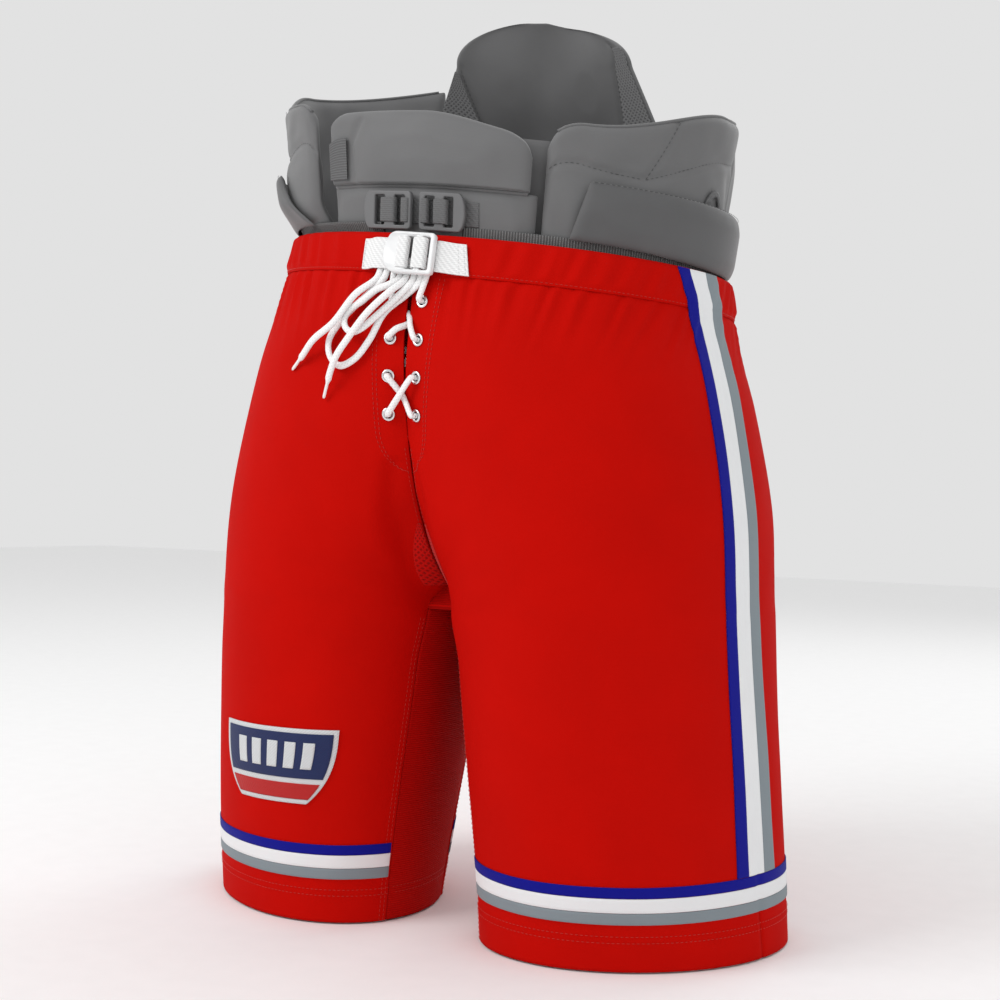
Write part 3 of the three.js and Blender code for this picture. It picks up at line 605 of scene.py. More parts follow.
MATERIALS = {
    "shell": knit("red_knit", RED, sheen=0.0, specular=0.05),
    # The two mesh materials below carry painted shade of the valley between the legs in their deeper red.
    "shell_mesh": rib_mesh("red_rib_mesh", MESH_RED_WITH_PAINTED_SHADE, 1.8, 0.25, "Y", 0.15),
    "crotch_mesh": diamond_mesh("red_crotch_mesh", MESH_RED_WITH_PAINTED_SHADE),
    "waistband": knit("red_waistband", RED, thread=1.0, depth=0.18, sheen=0.0, specular=0.05),
    "stripe_blue": knit("blue_stripe", NAVY, sheen=0.06),
    "stripe_white": knit("white_stripe", WHITE, spread=0.03),
    "stripe_grey": knit("grey_stripe", SILVER_GREY),
    "elastic": rib_mesh("white_elastic", (0.7, 0.7, 0.69), 1.8, 0.4, "Y", 0.12),
    "lace": braid("white_lace", (0.83, 0.83, 0.83)),
    "aglet": moulded("white_aglet", (0.86, 0.86, 0.86), 0.2, coat=0.5),
    "belt_webbing": woven_strap("white_webbing", (0.80, 0.80, 0.80)),
    "belt_plastic": moulded("white_plastic", (0.76, 0.765, 0.77), 0.38, coat=0.15),
    "nickel": nickel("nickel", (0.74, 0.75, 0.76)),
    "pad": nylon("grey_nylon", PAD_GREY),
    "pad_dark": nylon("dark_nylon", DARK_GREY),
    "pad_rib": rib_mesh("grey_rib", PAD_GREY, 2.0, 0.35, "Y", 0.16),
    "pad_mesh": diamond_mesh("grey_mesh", (0.15, 0.15, 0.152), 2.2, 0.35, 0.3),
    "knit_strip": rib_mesh("grey_knit", (0.15, 0.15, 0.15), 2.2, 0.6, "X", 0.4),
    "grey_webbing": woven_strap("grey_webbing", (0.125, 0.125, 0.127)),
    "grey_plastic": moulded("grey_plastic", (0.125, 0.125, 0.128), 0.4),
    "guard": moulded("guard_plastic", (0.05, 0.05, 0.052), 0.5),
    "binding": woven_strap("grey_binding", (0.085, 0.085, 0.087), 1.2, 0.2),
    "red_thread": thread("red_thread", (0.50, 0.010, 0.004)),
    "grey_thread": thread("grey_thread", (0.07, 0.07, 0.07)),
    "white_thread": thread("white_thread", (0.7, 0.7, 0.7)),
    "patch_navy": woven_strap("patch_navy", (0.012, 0.022, 0.09), 0.9, 0.25),
    "patch_silver": woven_strap("patch_silver", (0.62, 0.64, 0.65), 0.9, 0.25),
    "patch_red": woven_strap("patch_red", (0.45, 0.012, 0.012), 0.9, 0.25),
}

# ---- Mesh building ---------------------------------------------------------------------------
# Soft pieces that lie across a joint: the bodies on its two sides, and where the turning starts and ends.
BENDS = {"spine_bend": ("garment", "spine", *(metres(p) for p in SPINE_BEND))}


def piece(name, points, faces, material, weave=None):
    """A mesh object from points in millimetres. weave holds the cloth's own coordinates."""
    mesh = bpy.data.meshes.new(name)
    mesh.from_pydata([metres(p) for p in points], [], faces)
    mesh.materials.append(MATERIALS[material])
    mesh.polygons.foreach_set("use_smooth", [True] * len(mesh.polygons))
    if weave:
        layer = mesh.attributes.new("weave", "FLOAT_VECTOR", "POINT")
        layer.data.foreach_set("vector", [c for w in weave for c in w])
    obj = bpy.data.objects.new(name, mesh)
    bpy.context.scene.collection.objects.link(obj)
    return obj


def settle(obj, body, slot, *nodes):
    """Puts a finished piece on its body (a piece across a joint stays unparented where it lies), and in
    place of its CAD nodes.
    """
    if body in BENDS:
        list(BENDS[body])
        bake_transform(obj)
    else:
        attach(obj, body)
    if nodes:
        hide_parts(*nodes)
    return obj


def grid(place, nu, nv, flip=False):
    """Points, faces and cloth coordinates of a sheet of place(u, v)."""
    rows = [[place(i / nu, j / nv) for i in range(nu + 1)] for j in range(nv + 1)]
    across, up = [0.0], [0.0]
    for i in range(nu):
        across.append(across[-1] + sum((r[i + 1] - r[i]).length for r in rows) / len(rows))
    for j in range(nv):
        gaps = [(rows[j + 1][i] - rows[j][i]).length for i in range(nu + 1)]
        up.append(up[-1] + sum(gaps) / len(gaps))
    weave = [(across[i], up[j], 0) for j in range(nv + 1) for i in range(nu + 1)]
    faces = []
    for j in range(nv):
        for i in range(nu):
            a = j * (nu + 1) + i
            quad = (a, a + 1, a + nu + 2, a + nu + 1)
            faces.append(quad[::-1] if flip else quad)
    return [p for r in rows for p in r], faces, weave


def thicken(obj, thick):
    """Thickness inwards from the modelled face."""
    solid = obj.modifiers.new("thickness", "SOLIDIFY")
    solid.thickness = thick * MM
    solid.offset = -1
    normals = obj.modifiers.new("normals", "WEIGHTED_NORMAL")
    normals.weight = 100
    return obj


def sheet_piece(name, place, nu, nv, thick, material, flip=False):
    points, faces, weave = grid(place, nu, nv, flip)
    return thicken(piece(name, points, faces, material, weave), thick)


def lifted(side, angle, z, out=0, lift=shell_lift, more=0):
    """A point of the shell with its folds. out may be a function of the height."""
    base = out(z) if callable(out) else out
    return on_shell(angle, z, base + lift(side, angle, z) + more, side)


def cloth_panel(name, side, low, high, start, end, thick, material, nu, nv, out=0, lift=shell_lift):
    """A panel on the shell between two heights and two angle functions of the height."""

    def place(u, v):
        z = lerp(low, high, v)
        return lifted(side, lerp(start(z), end(z), u), z, out, lift)

    return sheet_piece(name, place, nu, nv, thick, material, flip=side < 0)


def resample(points, step=1.6):
    """Points along a centripetal Catmull-Rom curve through the given ones."""
    ends = [points[0] * 2 - points[1], *points, points[-1] * 2 - points[-2]]
    line = []
    for i in range(1, len(ends) - 2):
        p = ends[i - 1 : i + 3]
        t = [0.0]
        for a, b in zip(p, p[1:]):
            t.append(t[-1] + max(1e-4, (b - a).length) ** 0.5)
        count = max(2, math.ceil((p[2] - p[1]).length / step))
        for k in range(count):
            at = lerp(t[1], t[2], k / count)
            a1 = p[0].lerp(p[1], (at - t[0]) / (t[1] - t[0]))
            a2 = p[1].lerp(p[2], (at - t[1]) / (t[2] - t[1]))
            a3 = p[2].lerp(p[3], (at - t[2]) / (t[3] - t[2]))
            b1 = a1.lerp(a2, (at - t[0]) / (t[2] - t[0]))
            b2 = a2.lerp(a3, (at - t[1]) / (t[3] - t[1]))
            line.append(b1.lerp(b2, (at - t[1]) / (t[2] - t[1])))
    line.append(points[-1].copy())
    return line


def tube(name, line, outward, half_width, half_thick, material, ring=10, taper=None):
    """A closed tube of oval section along a line; outward(point) is the thin direction."""
    points, weave, faces = [], [], []
    run = 0.0
    for i, p in enumerate(line):
        before, after = line[max(0, i - 1)], line[min(len(line) - 1, i + 1)]
        along = (after - before).normalized()
        normal = outward(p)
        normal = (normal - along * normal.dot(along)).normalized()
        across = along.cross(normal)
        if i:
            run += (p - line[i - 1]).length
        k = taper(i, len(line)) if taper else 1
        for j in range(ring):
            a = 2 * math.pi * j / ring
            points.append(p + (across * half_width * math.cos(a) + normal * half_thick * math.sin(a)) * k)
            weave.append((run, a * (half_width + half_thick) / 2, 0))
    for i in range(len(line) - 1):
        for j in range(ring):
            a, b = i * ring + j, i * ring + (j + 1) % ring
            faces.append((a, b, b + ring, a + ring))
    last = (len(line) - 1) * ring
    faces += [tuple(range(ring))[::-1], tuple(range(last, last + ring))]
    return piece(name, points, faces, material, weave)


def stitches(name, line, normals, material, body, slot, length=2.4, gap=1.3, half=0.3):
    """A row of thread stitches along a line on a surface, each high in its middle and sunk at its ends."""
    points, faces = [], []
    run, i, at = 0.0, 0, 0.0
    lengths = [(b - a).length for a, b in zip(line, line[1:])]
    total = sum(lengths)
    while at + length < total:
        samples = []
        for target in (at, at + length / 2, at + length):
            while i < len(lengths) - 1 and run + lengths[i] < target:
                run += lengths[i]
                i += 1
            k = clamp((target - run) / max(lengths[i], 1e-6))
            normal = normals[i].lerp(normals[i + 1], k).normalized()
            samples.append((line[i].lerp(line[i + 1], k), normal))
        along = (samples[2][0] - samples[0][0]).normalized()
        base = len(points)
        for (p, n), (height, width) in zip(samples, ((-0.1, 0.5), (0.25, 1), (-0.1, 0.5))):
            across = along.cross(n) * half * width
            for offset in (across, n * half * 0.8, -across):
                points.append(p + n * height + offset)
        for r in range(2):
            for c in range(2):
                a = base + r * 3 + c
                faces.append((a, a + 1, a + 4, a + 3))
        at += length + gap
    obj = piece(name, points, faces, material)
    return settle(obj, body, slot)


def shell_row(name, path, side, lift=shell_lift, out=0.15, steps=160):
    """Stitches along path(t) -> (angle, z) on the shell, for t from 0 to 1."""
    line, normals = [], []
    for k in range(steps + 1):
        angle, z = path(k / steps)
        p = lifted(side, angle, z, out, lift)
        line.append(p)
        normals.append((lifted(side, angle, z, out, lift, 1) - p).normalized())
    return stitches(name, line, normals, "red_thread", "garment", "shell_red")


# ---- Laces: free lengths first ---------------------------------------------------------------
# Points are (x, height, distance outside the shell). Each hangs in a layer of its own.
HANGING = {
    "lace_loop_long": [
        (11.5, LACE_TOP_Z, 4.8), (10, 509, 4.8), (-1, 499, 4.6), (-17, 484, 4.6), (-27, 462, 4.6),
        (-38, 447, 4.6), (-51, 441, 4.6), (-61, 448, 4.6), (-64, 460, 4.6), (-54, 477, 4.6),
        (-32, 499, 4.6), (-21, 511, 4.8), (-19, LACE_TOP_Z, 4.8),
    ],
    "lace_loop_short": [
        (5.5, LACE_TOP_Z, 4.8), (4.5, 510, 6.2), (-7, 495, 9.2), (-21, 480.5, 9.2), (-33.5, 469.5, 9.2),
        (-41, 467, 9.2), (-47, 470.5, 9.2), (-49, 477, 9.2), (-45.5, 483.5, 9.2), (-35, 491.5, 9.2),
        (-23, 501, 10), (-13, 505.5, 9.9), (-7, 511, 6.6), (-7, LACE_TOP_Z, 4.8),
    ],
    "lace_end_left": [
        (-0.5, LACE_TOP_Z, 4.8), (-1.5, 510, 8.4), (-9, 500, 14), (-26, 482, 14.4), (-39, 463, 14),
        (-49, 448, 13), (-56, 436, 9), (-60, 427, 6),
    ],
    "lace_end_right": [
        (-25, LACE_TOP_Z, 4.8), (-27, 510, 6), (-41, 496, 11.5), (-56, 473, 13.8), (-75, 459, 12),
        (-88, 447.5, 7), (-93, 443.5, 5.2),
    ],
}


def outward_of_shell(p):
    z = clamp(p.z, CROTCH_Z + 1, WAIST_Z)
    across = front(p.x + 3, z, 0) - front(p.x - 3, z, 0)
    return Vector((across.y, -across.x, 0)).normalized()


def narrowing(i, count):
    """The lace is pressed thin just before its aglet."""
    return lerp(0.55, 1, smooth((count - 1 - i) / 3))


def free_laces():
    aglets = {}
    for name in ("lace_end_left", "lace_end_right"):
        before, tip = [front(*p) for p in HANGING[name][-2:]]
        along = (tip - before).normalized()
        start = tip - along
        line = [start + along * (k * (AGLET_LENGTH + 1.4) / 8) for k in range(9)]
        aglet = "aglet_" + name.rsplit("_", 1)[1]
        made = tube(
            aglet + "_tip", line, outward_of_shell, 1.25, 1.15, "aglet", 18,
            taper=lambda i, n: 1.0 if i < n - 1 else 0.7,
        )
        aglets[name] = settle(made, "garment", "aglet_white", aglet)
    for name, points in HANGING.items():
        line = resample([front(*p) for p in points])
        end = name in aglets
        made = tube(
            name + "_braid", line, outward_of_shell, LACE_HALF_WIDTH, LACE_HALF_THICK, "lace", 12,
            taper=narrowing if end else None,
        )
        settle(made, "garment", "lace_white", name)
        tuple(metres(line[0]))
        [tuple(metres(p)) for p in line]


free_laces()

# ---- Shell -----------------------------------------------------------------------------------


def eyelet_frame(side, z):
    centre = front(EYELET_X, z, 0)
    across = front(EYELET_X + 4, z, 0) - front(EYELET_X - 4, z, 0)
    upwards = front(EYELET_X, z + 4, 0) - front(EYELET_X, z - 4, 0)
    outward = across.cross(upwards).normalized()
    return Vector((side * centre.x, centre.y, z)), Vector((side * outward.x, outward.y, outward.z))


def eyelet_point(side, row, out):
    centre, outward = eyelet_frame(side, EYELET_ROWS[row])
    return centre + outward * out


def punch(points, faces, side):
    """Opens round holes for the eyelets: nearby points move to the rim, faces inside it go."""
    inside = set()
    for z in EYELET_ROWS:
        centre, outward = eyelet_frame(side, z)
        for i, p in enumerate(points):
            away = p - centre
            if max(abs(away.x), abs(away.z)) > 2 * EYELET_HOLE:
                continue
            flat = away - outward * away.dot(outward)
            if flat.length < EYELET_HOLE:
                inside.add(i)
                points[i] = p + flat.normalized() * (EYELET_HOLE - flat.length)
    return [f for f in faces if not all(i in inside for i in f)]


def shell_front(name, side):
    def place(u, v):
        z = lerp(0, SHELL_TOP_Z, v)
        u = lerp(u, u ** 1.7, 0.8)  # finer towards the fly
        return lifted(side, lerp(inseam_front(z), side_seam(z), u), z)

    points, faces, weave = grid(place, 96, 190, flip=side < 0)
    faces = punch(points, faces, side)
    obj = piece(f"front_panel_{name}", points, faces, "shell", weave)
    thicken(obj, SHELL_THICK)
    settle(obj, "garment", "shell_red", f"shell_front_{name}")


def shell():
    for name, side in SIDES.items():
        shell_front(name, side)
        back = cloth_panel(
            f"back_panel_{name}_cloth", side, 0, SHELL_TOP_Z,
            lambda z: side_seam(z) + along_shell(z, FIT), inseam_back,
            SHELL_THICK, "shell", 84, 170,
        )
        settle(back, "garment", "shell_red", f"shell_back_{name}")
        gusset = cloth_panel(
            f"inner_thigh_mesh_{name}", side, 0, CROTCH_Z,
            lambda z: BACK_INSEAM - 360 + along_shell(z, FIT), lambda z: FRONT_INSEAM - along_shell(z, FIT),
            SHELL_THICK, "shell_mesh", 40, 90, out=-0.4, lift=thigh_lift,
        )
        settle(gusset, "garment", "shell_mesh", f"inner_thigh_panel_{name}")


def thigh_lift(side, angle, z):
    """Soft waves of the mesh between the legs."""
    return 0.7 * noise.noise(Vector((angle * 0.05, z * 0.012, 2.2 + side))) * smooth(z / 40)


def crotch_mesh():
    """A triangle of open mesh beside the centre seam, just above the inseam."""
    for name, side in SIDES.items():
        def place(u, v):
            z = lerp(SEAT_Z, 324, v)
            width = lerp(24, 3, v ** 1.3)
            return lifted(side, inseam_front(z) + along_shell(z, 1.5 + width * u), z, 0.35)

        obj = sheet_piece(f"crotch_mesh_{name}", place, 12, 30, 0.3, "crotch_mesh", flip=side < 0)
        settle(obj, "garment", "shell_mesh")


def waistband():
    """The casing folds over the waist edge, outer ply to inner ply, and is gathered by the elastic."""
    fold = 3.3
    turn_z = WAIST_Z - fold
    profile = [(band_out(z), z) for z in (lerp(WAISTBAND_Z, turn_z, k / 20) for k in range(21))]
    for k in range(1, 9):
        a = math.pi * k / 8
        profile.append((-1 + fold * math.cos(a), turn_z + fold * math.sin(a)))
    profile += [(-1 - fold, lerp(turn_z, WAISTBAND_Z, k / 12)) for k in range(1, 13)]
    gap = along_shell(WAIST_Z, FLY_HALF_GAP)

    def place(u, v):
        turn = lerp(gap, 360 - gap, u)
        out, z = profile[round(v * (len(profile) - 1))]
        side, angle = (1, turn) if turn <= 180 else (-1, 360 - turn)
        lift = band_lift(side, angle, z) * (1 if out > 0 else -0.3)
        return all_round(turn, z, out + lift)

    points, faces, weave = grid(place, 560, len(profile) - 1)
    obj = thicken(piece("waistband_cloth", points, faces, "waistband", weave), 1)
    settle(obj, "garment", "shell_red", "waistband_casing")

    def elastic(u, v):
        return all_round(lerp(gap + 1, 359 - gap, u), lerp(*ELASTIC_Z, v), -0.3)

    band = sheet_piece("waist_elastic_band", elastic, 200, 10, 1.8, "elastic")
    settle(band, "garment", "elastic_white", "waistband_elastic")
    row = WAISTBAND_Z + 2
    for name, side in SIDES.items():
        shell_row(
            f"waistband_stitch_{name}", lambda t: (lerp(3, 179, t), row), side,
            band_lift, band_out(row) + 0.05, 300,
        )


def stripe_lift(side, angle, z):
    """Stripes follow the shell's folds, and the waistband's gathers where they cross it."""
    over = smooth((z - WAISTBAND_Z + 8) / 10)
    return lerp(shell_lift(side, angle, z), band_lift(side, angle, z), over)


def side_stripes():
    for name, side in SIDES.items():
        start = 0
        for colour, width in STRIPE_WIDTHS.items():
            obj = cloth_panel(
                f"side_{colour}_{name}", side, HEM_BANDS["blue"][1] + FIT, WAIST_Z - 1,
                lambda z: stripe_start(z) + along_shell(z, start),
                lambda z: stripe_start(z) + along_shell(z, start + width - 0.1),
                STRIPE_THICK, f"stripe_{colour}", 8, 200, out=stripe_out, lift=stripe_lift,
            )
            settle(obj, "garment", f"stripe_{colour}", f"side_stripe_{colour}_{name}")
            start += width


def hem_stripes():
    for name, side in SIDES.items():
        for colour, (low, high) in HEM_BANDS.items():
            obj = cloth_panel(
                f"hem_{colour}_{name}", side, low, high,
                lambda z: FRONT_INSEAM + 1, lambda z: BACK_INSEAM - 1,
                STRIPE_THICK, f"stripe_{colour}", 220, 4, out=STRIPE_THICK + 0.1,
            )
            settle(obj, "garment", f"stripe_{colour}", f"hem_stripe_{colour}_{name}")


def seams():
    """Rows of stitching on the shell."""
    leg_top, seat_low = CROTCH_Z - 6, 285
    back_high, front_high = 498, FLY_END_Z - 3

    def hem(t):
        return lerp(FRONT_INSEAM, BACK_INSEAM, t), z

    def inner_hem(t):
        return lerp(BACK_INSEAM - 358, FRONT_INSEAM - 2, t), z

    def front_inseam(t):
        return FRONT_INSEAM + along_shell(leg_top * t, offset), leg_top * t

    def back_inseam(t):
        return BACK_INSEAM - along_shell(leg_top * t, offset), leg_top * t

    def centre_back(t):
        height = lerp(seat_low, back_high, t)
        return back_middle(height) - along_shell(300, offset), height

    def centre_front(t):
        height = lerp(seat_low, front_high, t)
        return middle_angle(height) + along_shell(300, 3), height

    for name, side in SIDES.items():
        for z in HEM_STITCHES:
            shell_row(f"hem_stitch_{z}_{name}", hem, side, steps=300)
            shell_row(f"hem_stitch_inner_{z}_{name}", inner_hem, side, thigh_lift, -0.3, 40)
        for k, offset in enumerate((3, 6.5)):
            shell_row(f"inseam_front_stitch_{k}_{name}", front_inseam, side)
            shell_row(f"inseam_back_stitch_{k}_{name}", back_inseam, side)
            shell_row(f"centre_back_stitch_{k}_{name}", centre_back, side)
        shell_row(f"centre_front_stitch_{name}", centre_front, side)
        for k, inwards in enumerate((1.5, 4.5)):
            reach = FLY_FACING_WIDTH - inwards
            shell_row(f"fly_stitch_{k}_{name}", lambda t: fly_stitch_path(t, reach), side)


def fly_stitch_path(t, offset):
    """Down beside the fly, then curving in to the centre seam below it."""
    z = lerp(514, FLY_END_Z - 22, t)
    turn = clamp((t - 0.8) / 0.2)
    reach = offset * math.sqrt(max(0, 1 - turn * turn)) + 1
    return middle_angle(z) + along_shell(z, reach), z


def fly():
    for name, side in SIDES.items():
        def place(u, v):
            z = lerp(FLY_END_Z + 6, WAISTBAND_Z - 1, v)
            edge = fly_edge(z)
            angle = lerp(edge + along_shell(z, 0.6), edge + along_shell(z, FLY_FACING_WIDTH), u)
            return on_shell(angle, z, -SHELL_THICK - LAYER, side)

        points, faces, weave = grid(place, 24, 90, flip=side < 0)
        faces = punch(points, faces, side)
        obj = thicken(piece(f"fly_facing_cloth_{name}", points, faces, "shell", weave), 1.2)
        settle(obj, "garment", "shell_red", f"fly_facing_{name}")

    def placket(u, v):
        return front(lerp(-30, 30, u), lerp(FLY_END_Z + 2, 500, v), -14.5 + 1.2 * math.sin(7 * v + 2 * u))

    obj = sheet_piece("fly_placket_cloth", placket, 30, 40, 1.5, "shell")
    settle(obj, "garment", "shell_red", "fly_placket")


def seam_tapes():
    """Narrow tapes inside the centre seams, front and back."""
    for name, high, middle, inwards in (
        ("front", FLY_END_Z + 6, middle_angle, 1),
        ("back", SHELL_TOP_Z - 2, back_middle, -1),
    ):
        def place(u, v):
            z = lerp(SEAT_Z + 1, high, v)
            y = on_shell(middle(z), z, 0).y + 3.4 * inwards
            return Vector((lerp(5, -5, u) * inwards, y, z))

        obj = sheet_piece(f"seam_tape_{name}", place, 4, 60, 0.5, "shell")
        settle(obj, "garment", "shell_red")


def saddle():
    """Mesh under the crotch: it fills the wedges between the legs in front and behind."""
    path = [(z, inseam_front(z)) for z in (lerp(SEAT_Z, CROTCH_Z, k / 12) for k in range(13))]
    path += [(CROTCH_Z, lerp(FRONT_INSEAM, BACK_INSEAM - 360, k / 30)) for k in range(1, 30)]
    path += [(z, inseam_back(z) - 360) for z in (lerp(CROTCH_Z, SEAT_Z, k / 12) for k in range(13))]

    def place(u, v):
        z, angle = path[round(v * (len(path) - 1))]
        under = bump((angle + 90) / 50, 0.42)
        lift = shell_lift(1, angle % 360 if angle < -100 else angle, z) * (1 - under)
        edge = on_shell(angle, z, lift - 0.6)
        return Vector((lerp(-1, 1, u) * (abs(edge.x) + 1.5 * under), edge.y, z + 2.2 * under))

    obj = sheet_piece("crotch_gusset_mesh", place, 12, len(path) - 1, SHELL_THICK, "shell_mesh")
    settle(obj, "garment", "shell_mesh", "crotch_gusset")


def lathe(name, profile, centre, outward, material):
    """A turned piece: (radius, out) points around an outward direction."""
    steps = 36
    turn = UP.rotation_difference(outward)
    points, faces = [], []
    for i in range(steps):
        a = 2 * math.pi * i / steps
        for radius, out in profile:
            points.append(centre + turn @ Vector((radius * math.cos(a), radius * math.sin(a), out)))
    n = len(profile)
    for i in range(steps):
        for j in range(n):
            a, b = i * n + j, i * n + (j + 1) % n
            c, d = ((i + 1) % steps) * n + (j + 1) % n, ((i + 1) % steps) * n + j
            faces.append((a, d, c, b))
    return piece(name, points, faces, material)


def eyelets():
    """Nickel eyelets: a barrel through both plies, a flat flange inside and a rolled one outside."""
    inside = -(SHELL_THICK + LAYER + 1.5)
    bore, barrel, flange = 2.9, 3.6, 5.2
    profile = [(bore, inside - 1), (flange, inside - 1), (flange, inside - FIT), (barrel, inside - FIT)]
    profile += [(barrel, FIT), (flange, FIT)]
    for k in range(9):
        a = math.pi * k / 8
        profile.append((4.05 + 1.15 * math.cos(a), 0.55 + 0.85 * math.sin(a)))
    for name, side in SIDES.items():
        for row, z in enumerate(EYELET_ROWS):
            centre, outward = eyelet_frame(side, z)
            obj = lathe(f"nickel_eyelet_{name}_{row + 1}", profile, centre, outward, "nickel")
            settle(obj, "garment", "eyelet_metal", f"eyelet_{name}_{row + 1}")


def through(side, row, inwards):
    """The lace's way through an eyelet, straight along the eyelet's direction."""
    outs = [4.6, 1.6, -1.6, -5, -8]
    return [eyelet_point(side, row, out) for out in (outs if inwards else outs[::-1])]


def laced_length():
    """The laced length, from the knot down the fly and back, and the knot itself."""
    left, right = 1, -1
    route = [front(-13, LACE_TOP_Z, 4.8), front(-13, 508, 4.8), *through(right, 0, True)]
    route += [front(-6.2, 487.5, -7.4), front(0, 483.6, -1.2), front(6.5, 474, 4.4)]
    route += [*through(left, 1, True)]
    route += [front(0, 451, -7), *through(right, 2, False), front(0, 421.5, 4.6), *through(left, 3, True)]
    route += [front(0, 404, -10), *through(right, 3, False), front(0, 421.5, 10.2), *through(left, 2, True)]
    route += [front(0, 451, -13), *through(right, 1, False), front(-6.5, 472, 4.4), front(0, 477.2, -1.2)]
    route += [front(7.5, 486, -6.8), *through(left, 0, False)]
    route += [front(15, 508, 4.8), front(17.5, LACE_TOP_Z, 4.8)]
    line = resample(route, 1.2)
    obj = tube("laced_braid", line, outward_of_shell, LACED_HALF_WIDTH, LACE_HALF_THICK, "lace", 12)
    settle(obj, "garment", "lace_white", "lace_laced")
    knot = [front(x, z, 4.7) for x, z in (
        (-27, 521), (-18, 526.5), (-6, 522), (4, 526.8), (14, 521.5), (19, 524.5), (12, 527), (2, 521.2),
        (-9, 526.8), (-19, 521.2), (-27, 526),
    )]
    line = resample(knot, 1.5)
    obj = tube("knot_braid", line, outward_of_shell, LACED_HALF_WIDTH, LACE_HALF_THICK, "lace", 12)
    settle(obj, "garment", "lace_white", "lace_knot")


def thigh_patch():
    """A sewn shield without lettering: silver border, navy field, red foot and a white bar."""
    low, high, start, end = 97, 158, -36, 22

    def shield(u, v, out):
        z = lerp(low, high, v)
        taper = 1 - 0.4 * (1 - v) ** 3
        angle = (start + end) / 2 + (u - 0.5) * (end - start) * taper
        return lifted(-1, angle, z, out)

    def part(name, u0, u1, v0, v1, out, material, nu, nv, *nodes):
        def place(u, v):
            return shield(lerp(u0, u1, u), lerp(v0, v1, v), out)

        obj = sheet_piece(name, place, nu, nv, 1.1, material, flip=True)
        settle(obj, "garment", "patch_navy", *nodes)

    part("patch_border", 0, 1, 0, 1, 1.2, "patch_silver", 50, 30, "thigh_patch")
    part("patch_field", 0.035, 0.965, 0.34, 0.94, 1.7, "patch_navy", 50, 24)
    part("patch_foot", 0.035, 0.965, 0.06, 0.27, 1.7, "patch_red", 50, 12)
    for k in range(5):
        u = 0.16 + 0.145 * k
        part(f"patch_bar_{k + 1}", u, u + 0.085, 0.47, 0.82, 2.2, "patch_silver", 6, 12)


# ---- Belt ------------------------------------------------------------------------------------
def on_belt(x, out, up):
    """A point of the belt, which lies on the leaning front of the waistband."""
    ahead = front(x, BELT_Z, 0).y - front(0, BELT_Z, 0).y - out
    y = ahead * math.cos(BELT_LEAN) + up * math.sin(BELT_LEAN)
    z = -ahead * math.sin(BELT_LEAN) + up * math.cos(BELT_LEAN)
    return Vector((x, y + front(0, BELT_Z, 0).y, z + BELT_Z))


def flat_belt(x, out, up):
    """As on_belt, but straight across, for the stiff buckle."""
    y = -out * math.cos(BELT_LEAN) + up * math.sin(BELT_LEAN)
    z = out * math.sin(BELT_LEAN) + up * math.cos(BELT_LEAN)
    return Vector((x, y + front(0, BELT_Z, 0).y, z + BELT_Z))


def strip(name, profile, place, material, width, thick=WEBBING_THICK):
    """Webbing along a (x, out) profile, with softly rounded edges."""
    line = resample([Vector((x, out, 0)) for x, out in profile], 1.2)
    half = width / 2

    def point(u, v):
        k = u * (len(line) - 1)
        i = min(len(line) - 2, int(k))
        p = line[i].lerp(line[i + 1], k - i)
        edge = 0.35 * (2 * v - 1) ** 8
        return place(p.x, p.y + thick / 2 - edge, (2 * v - 1) * half)

    obj = sheet_piece(name, point, len(line) - 1, 24, thick, material)
    rounding = obj.modifiers.new("rounding", "BEVEL")
    rounding.width = 0.4 * MM
    rounding.segments = 2
    return obj


def ladder_outlines(left, right, half, tab, shares, tab_side=-1):
    """Outline and slots of a ladder buckle, centred on x = 0, with a round thumb tab.

    shares are where each slot begins and ends, as parts of the width.
    """
    middle = (left + right) / 2
    upper = []
    for i in range(7):
        a = math.pi / 2 * i / 6
        upper.append((right - 3 + 3 * math.sin(a), half - 3 + 3 * math.cos(a)))
    outline = [(x, -y) for x, y in upper] + upper[::-1]
    for i in range(17):
        a = math.pi / 2 + math.pi * i / 16
        outline.append((left + tab * math.cos(a), half * math.sin(a)))
    span = right - left
    reach = half - 3.3
    slots = [
        rounded_box(left + span * begin, left + span * end, -reach, reach, 1.2) for begin, end in shares
    ]
    flip = -tab_side
    return [[(flip * (x - middle), y) for x, y in loop] for loop in (outline, *slots)]


def rounded_box(x0, x1, y0, y1, radius):
    steps = 4
    corners = [(x1, y1, 0), (x0, y1, 1), (x0, y0, 2), (x1, y0, 3)]
    loop = []
    for x, y, quarter in corners:
        cx = x - math.copysign(radius, x - (x0 + x1) / 2)
        cy = y - math.copysign(radius, y - (y0 + y1) / 2)
        for i in range(steps + 1):
            a = math.pi / 2 * (quarter + i / steps)
            loop.append((cx + radius * math.cos(a), cy + radius * math.sin(a)))
    return loop


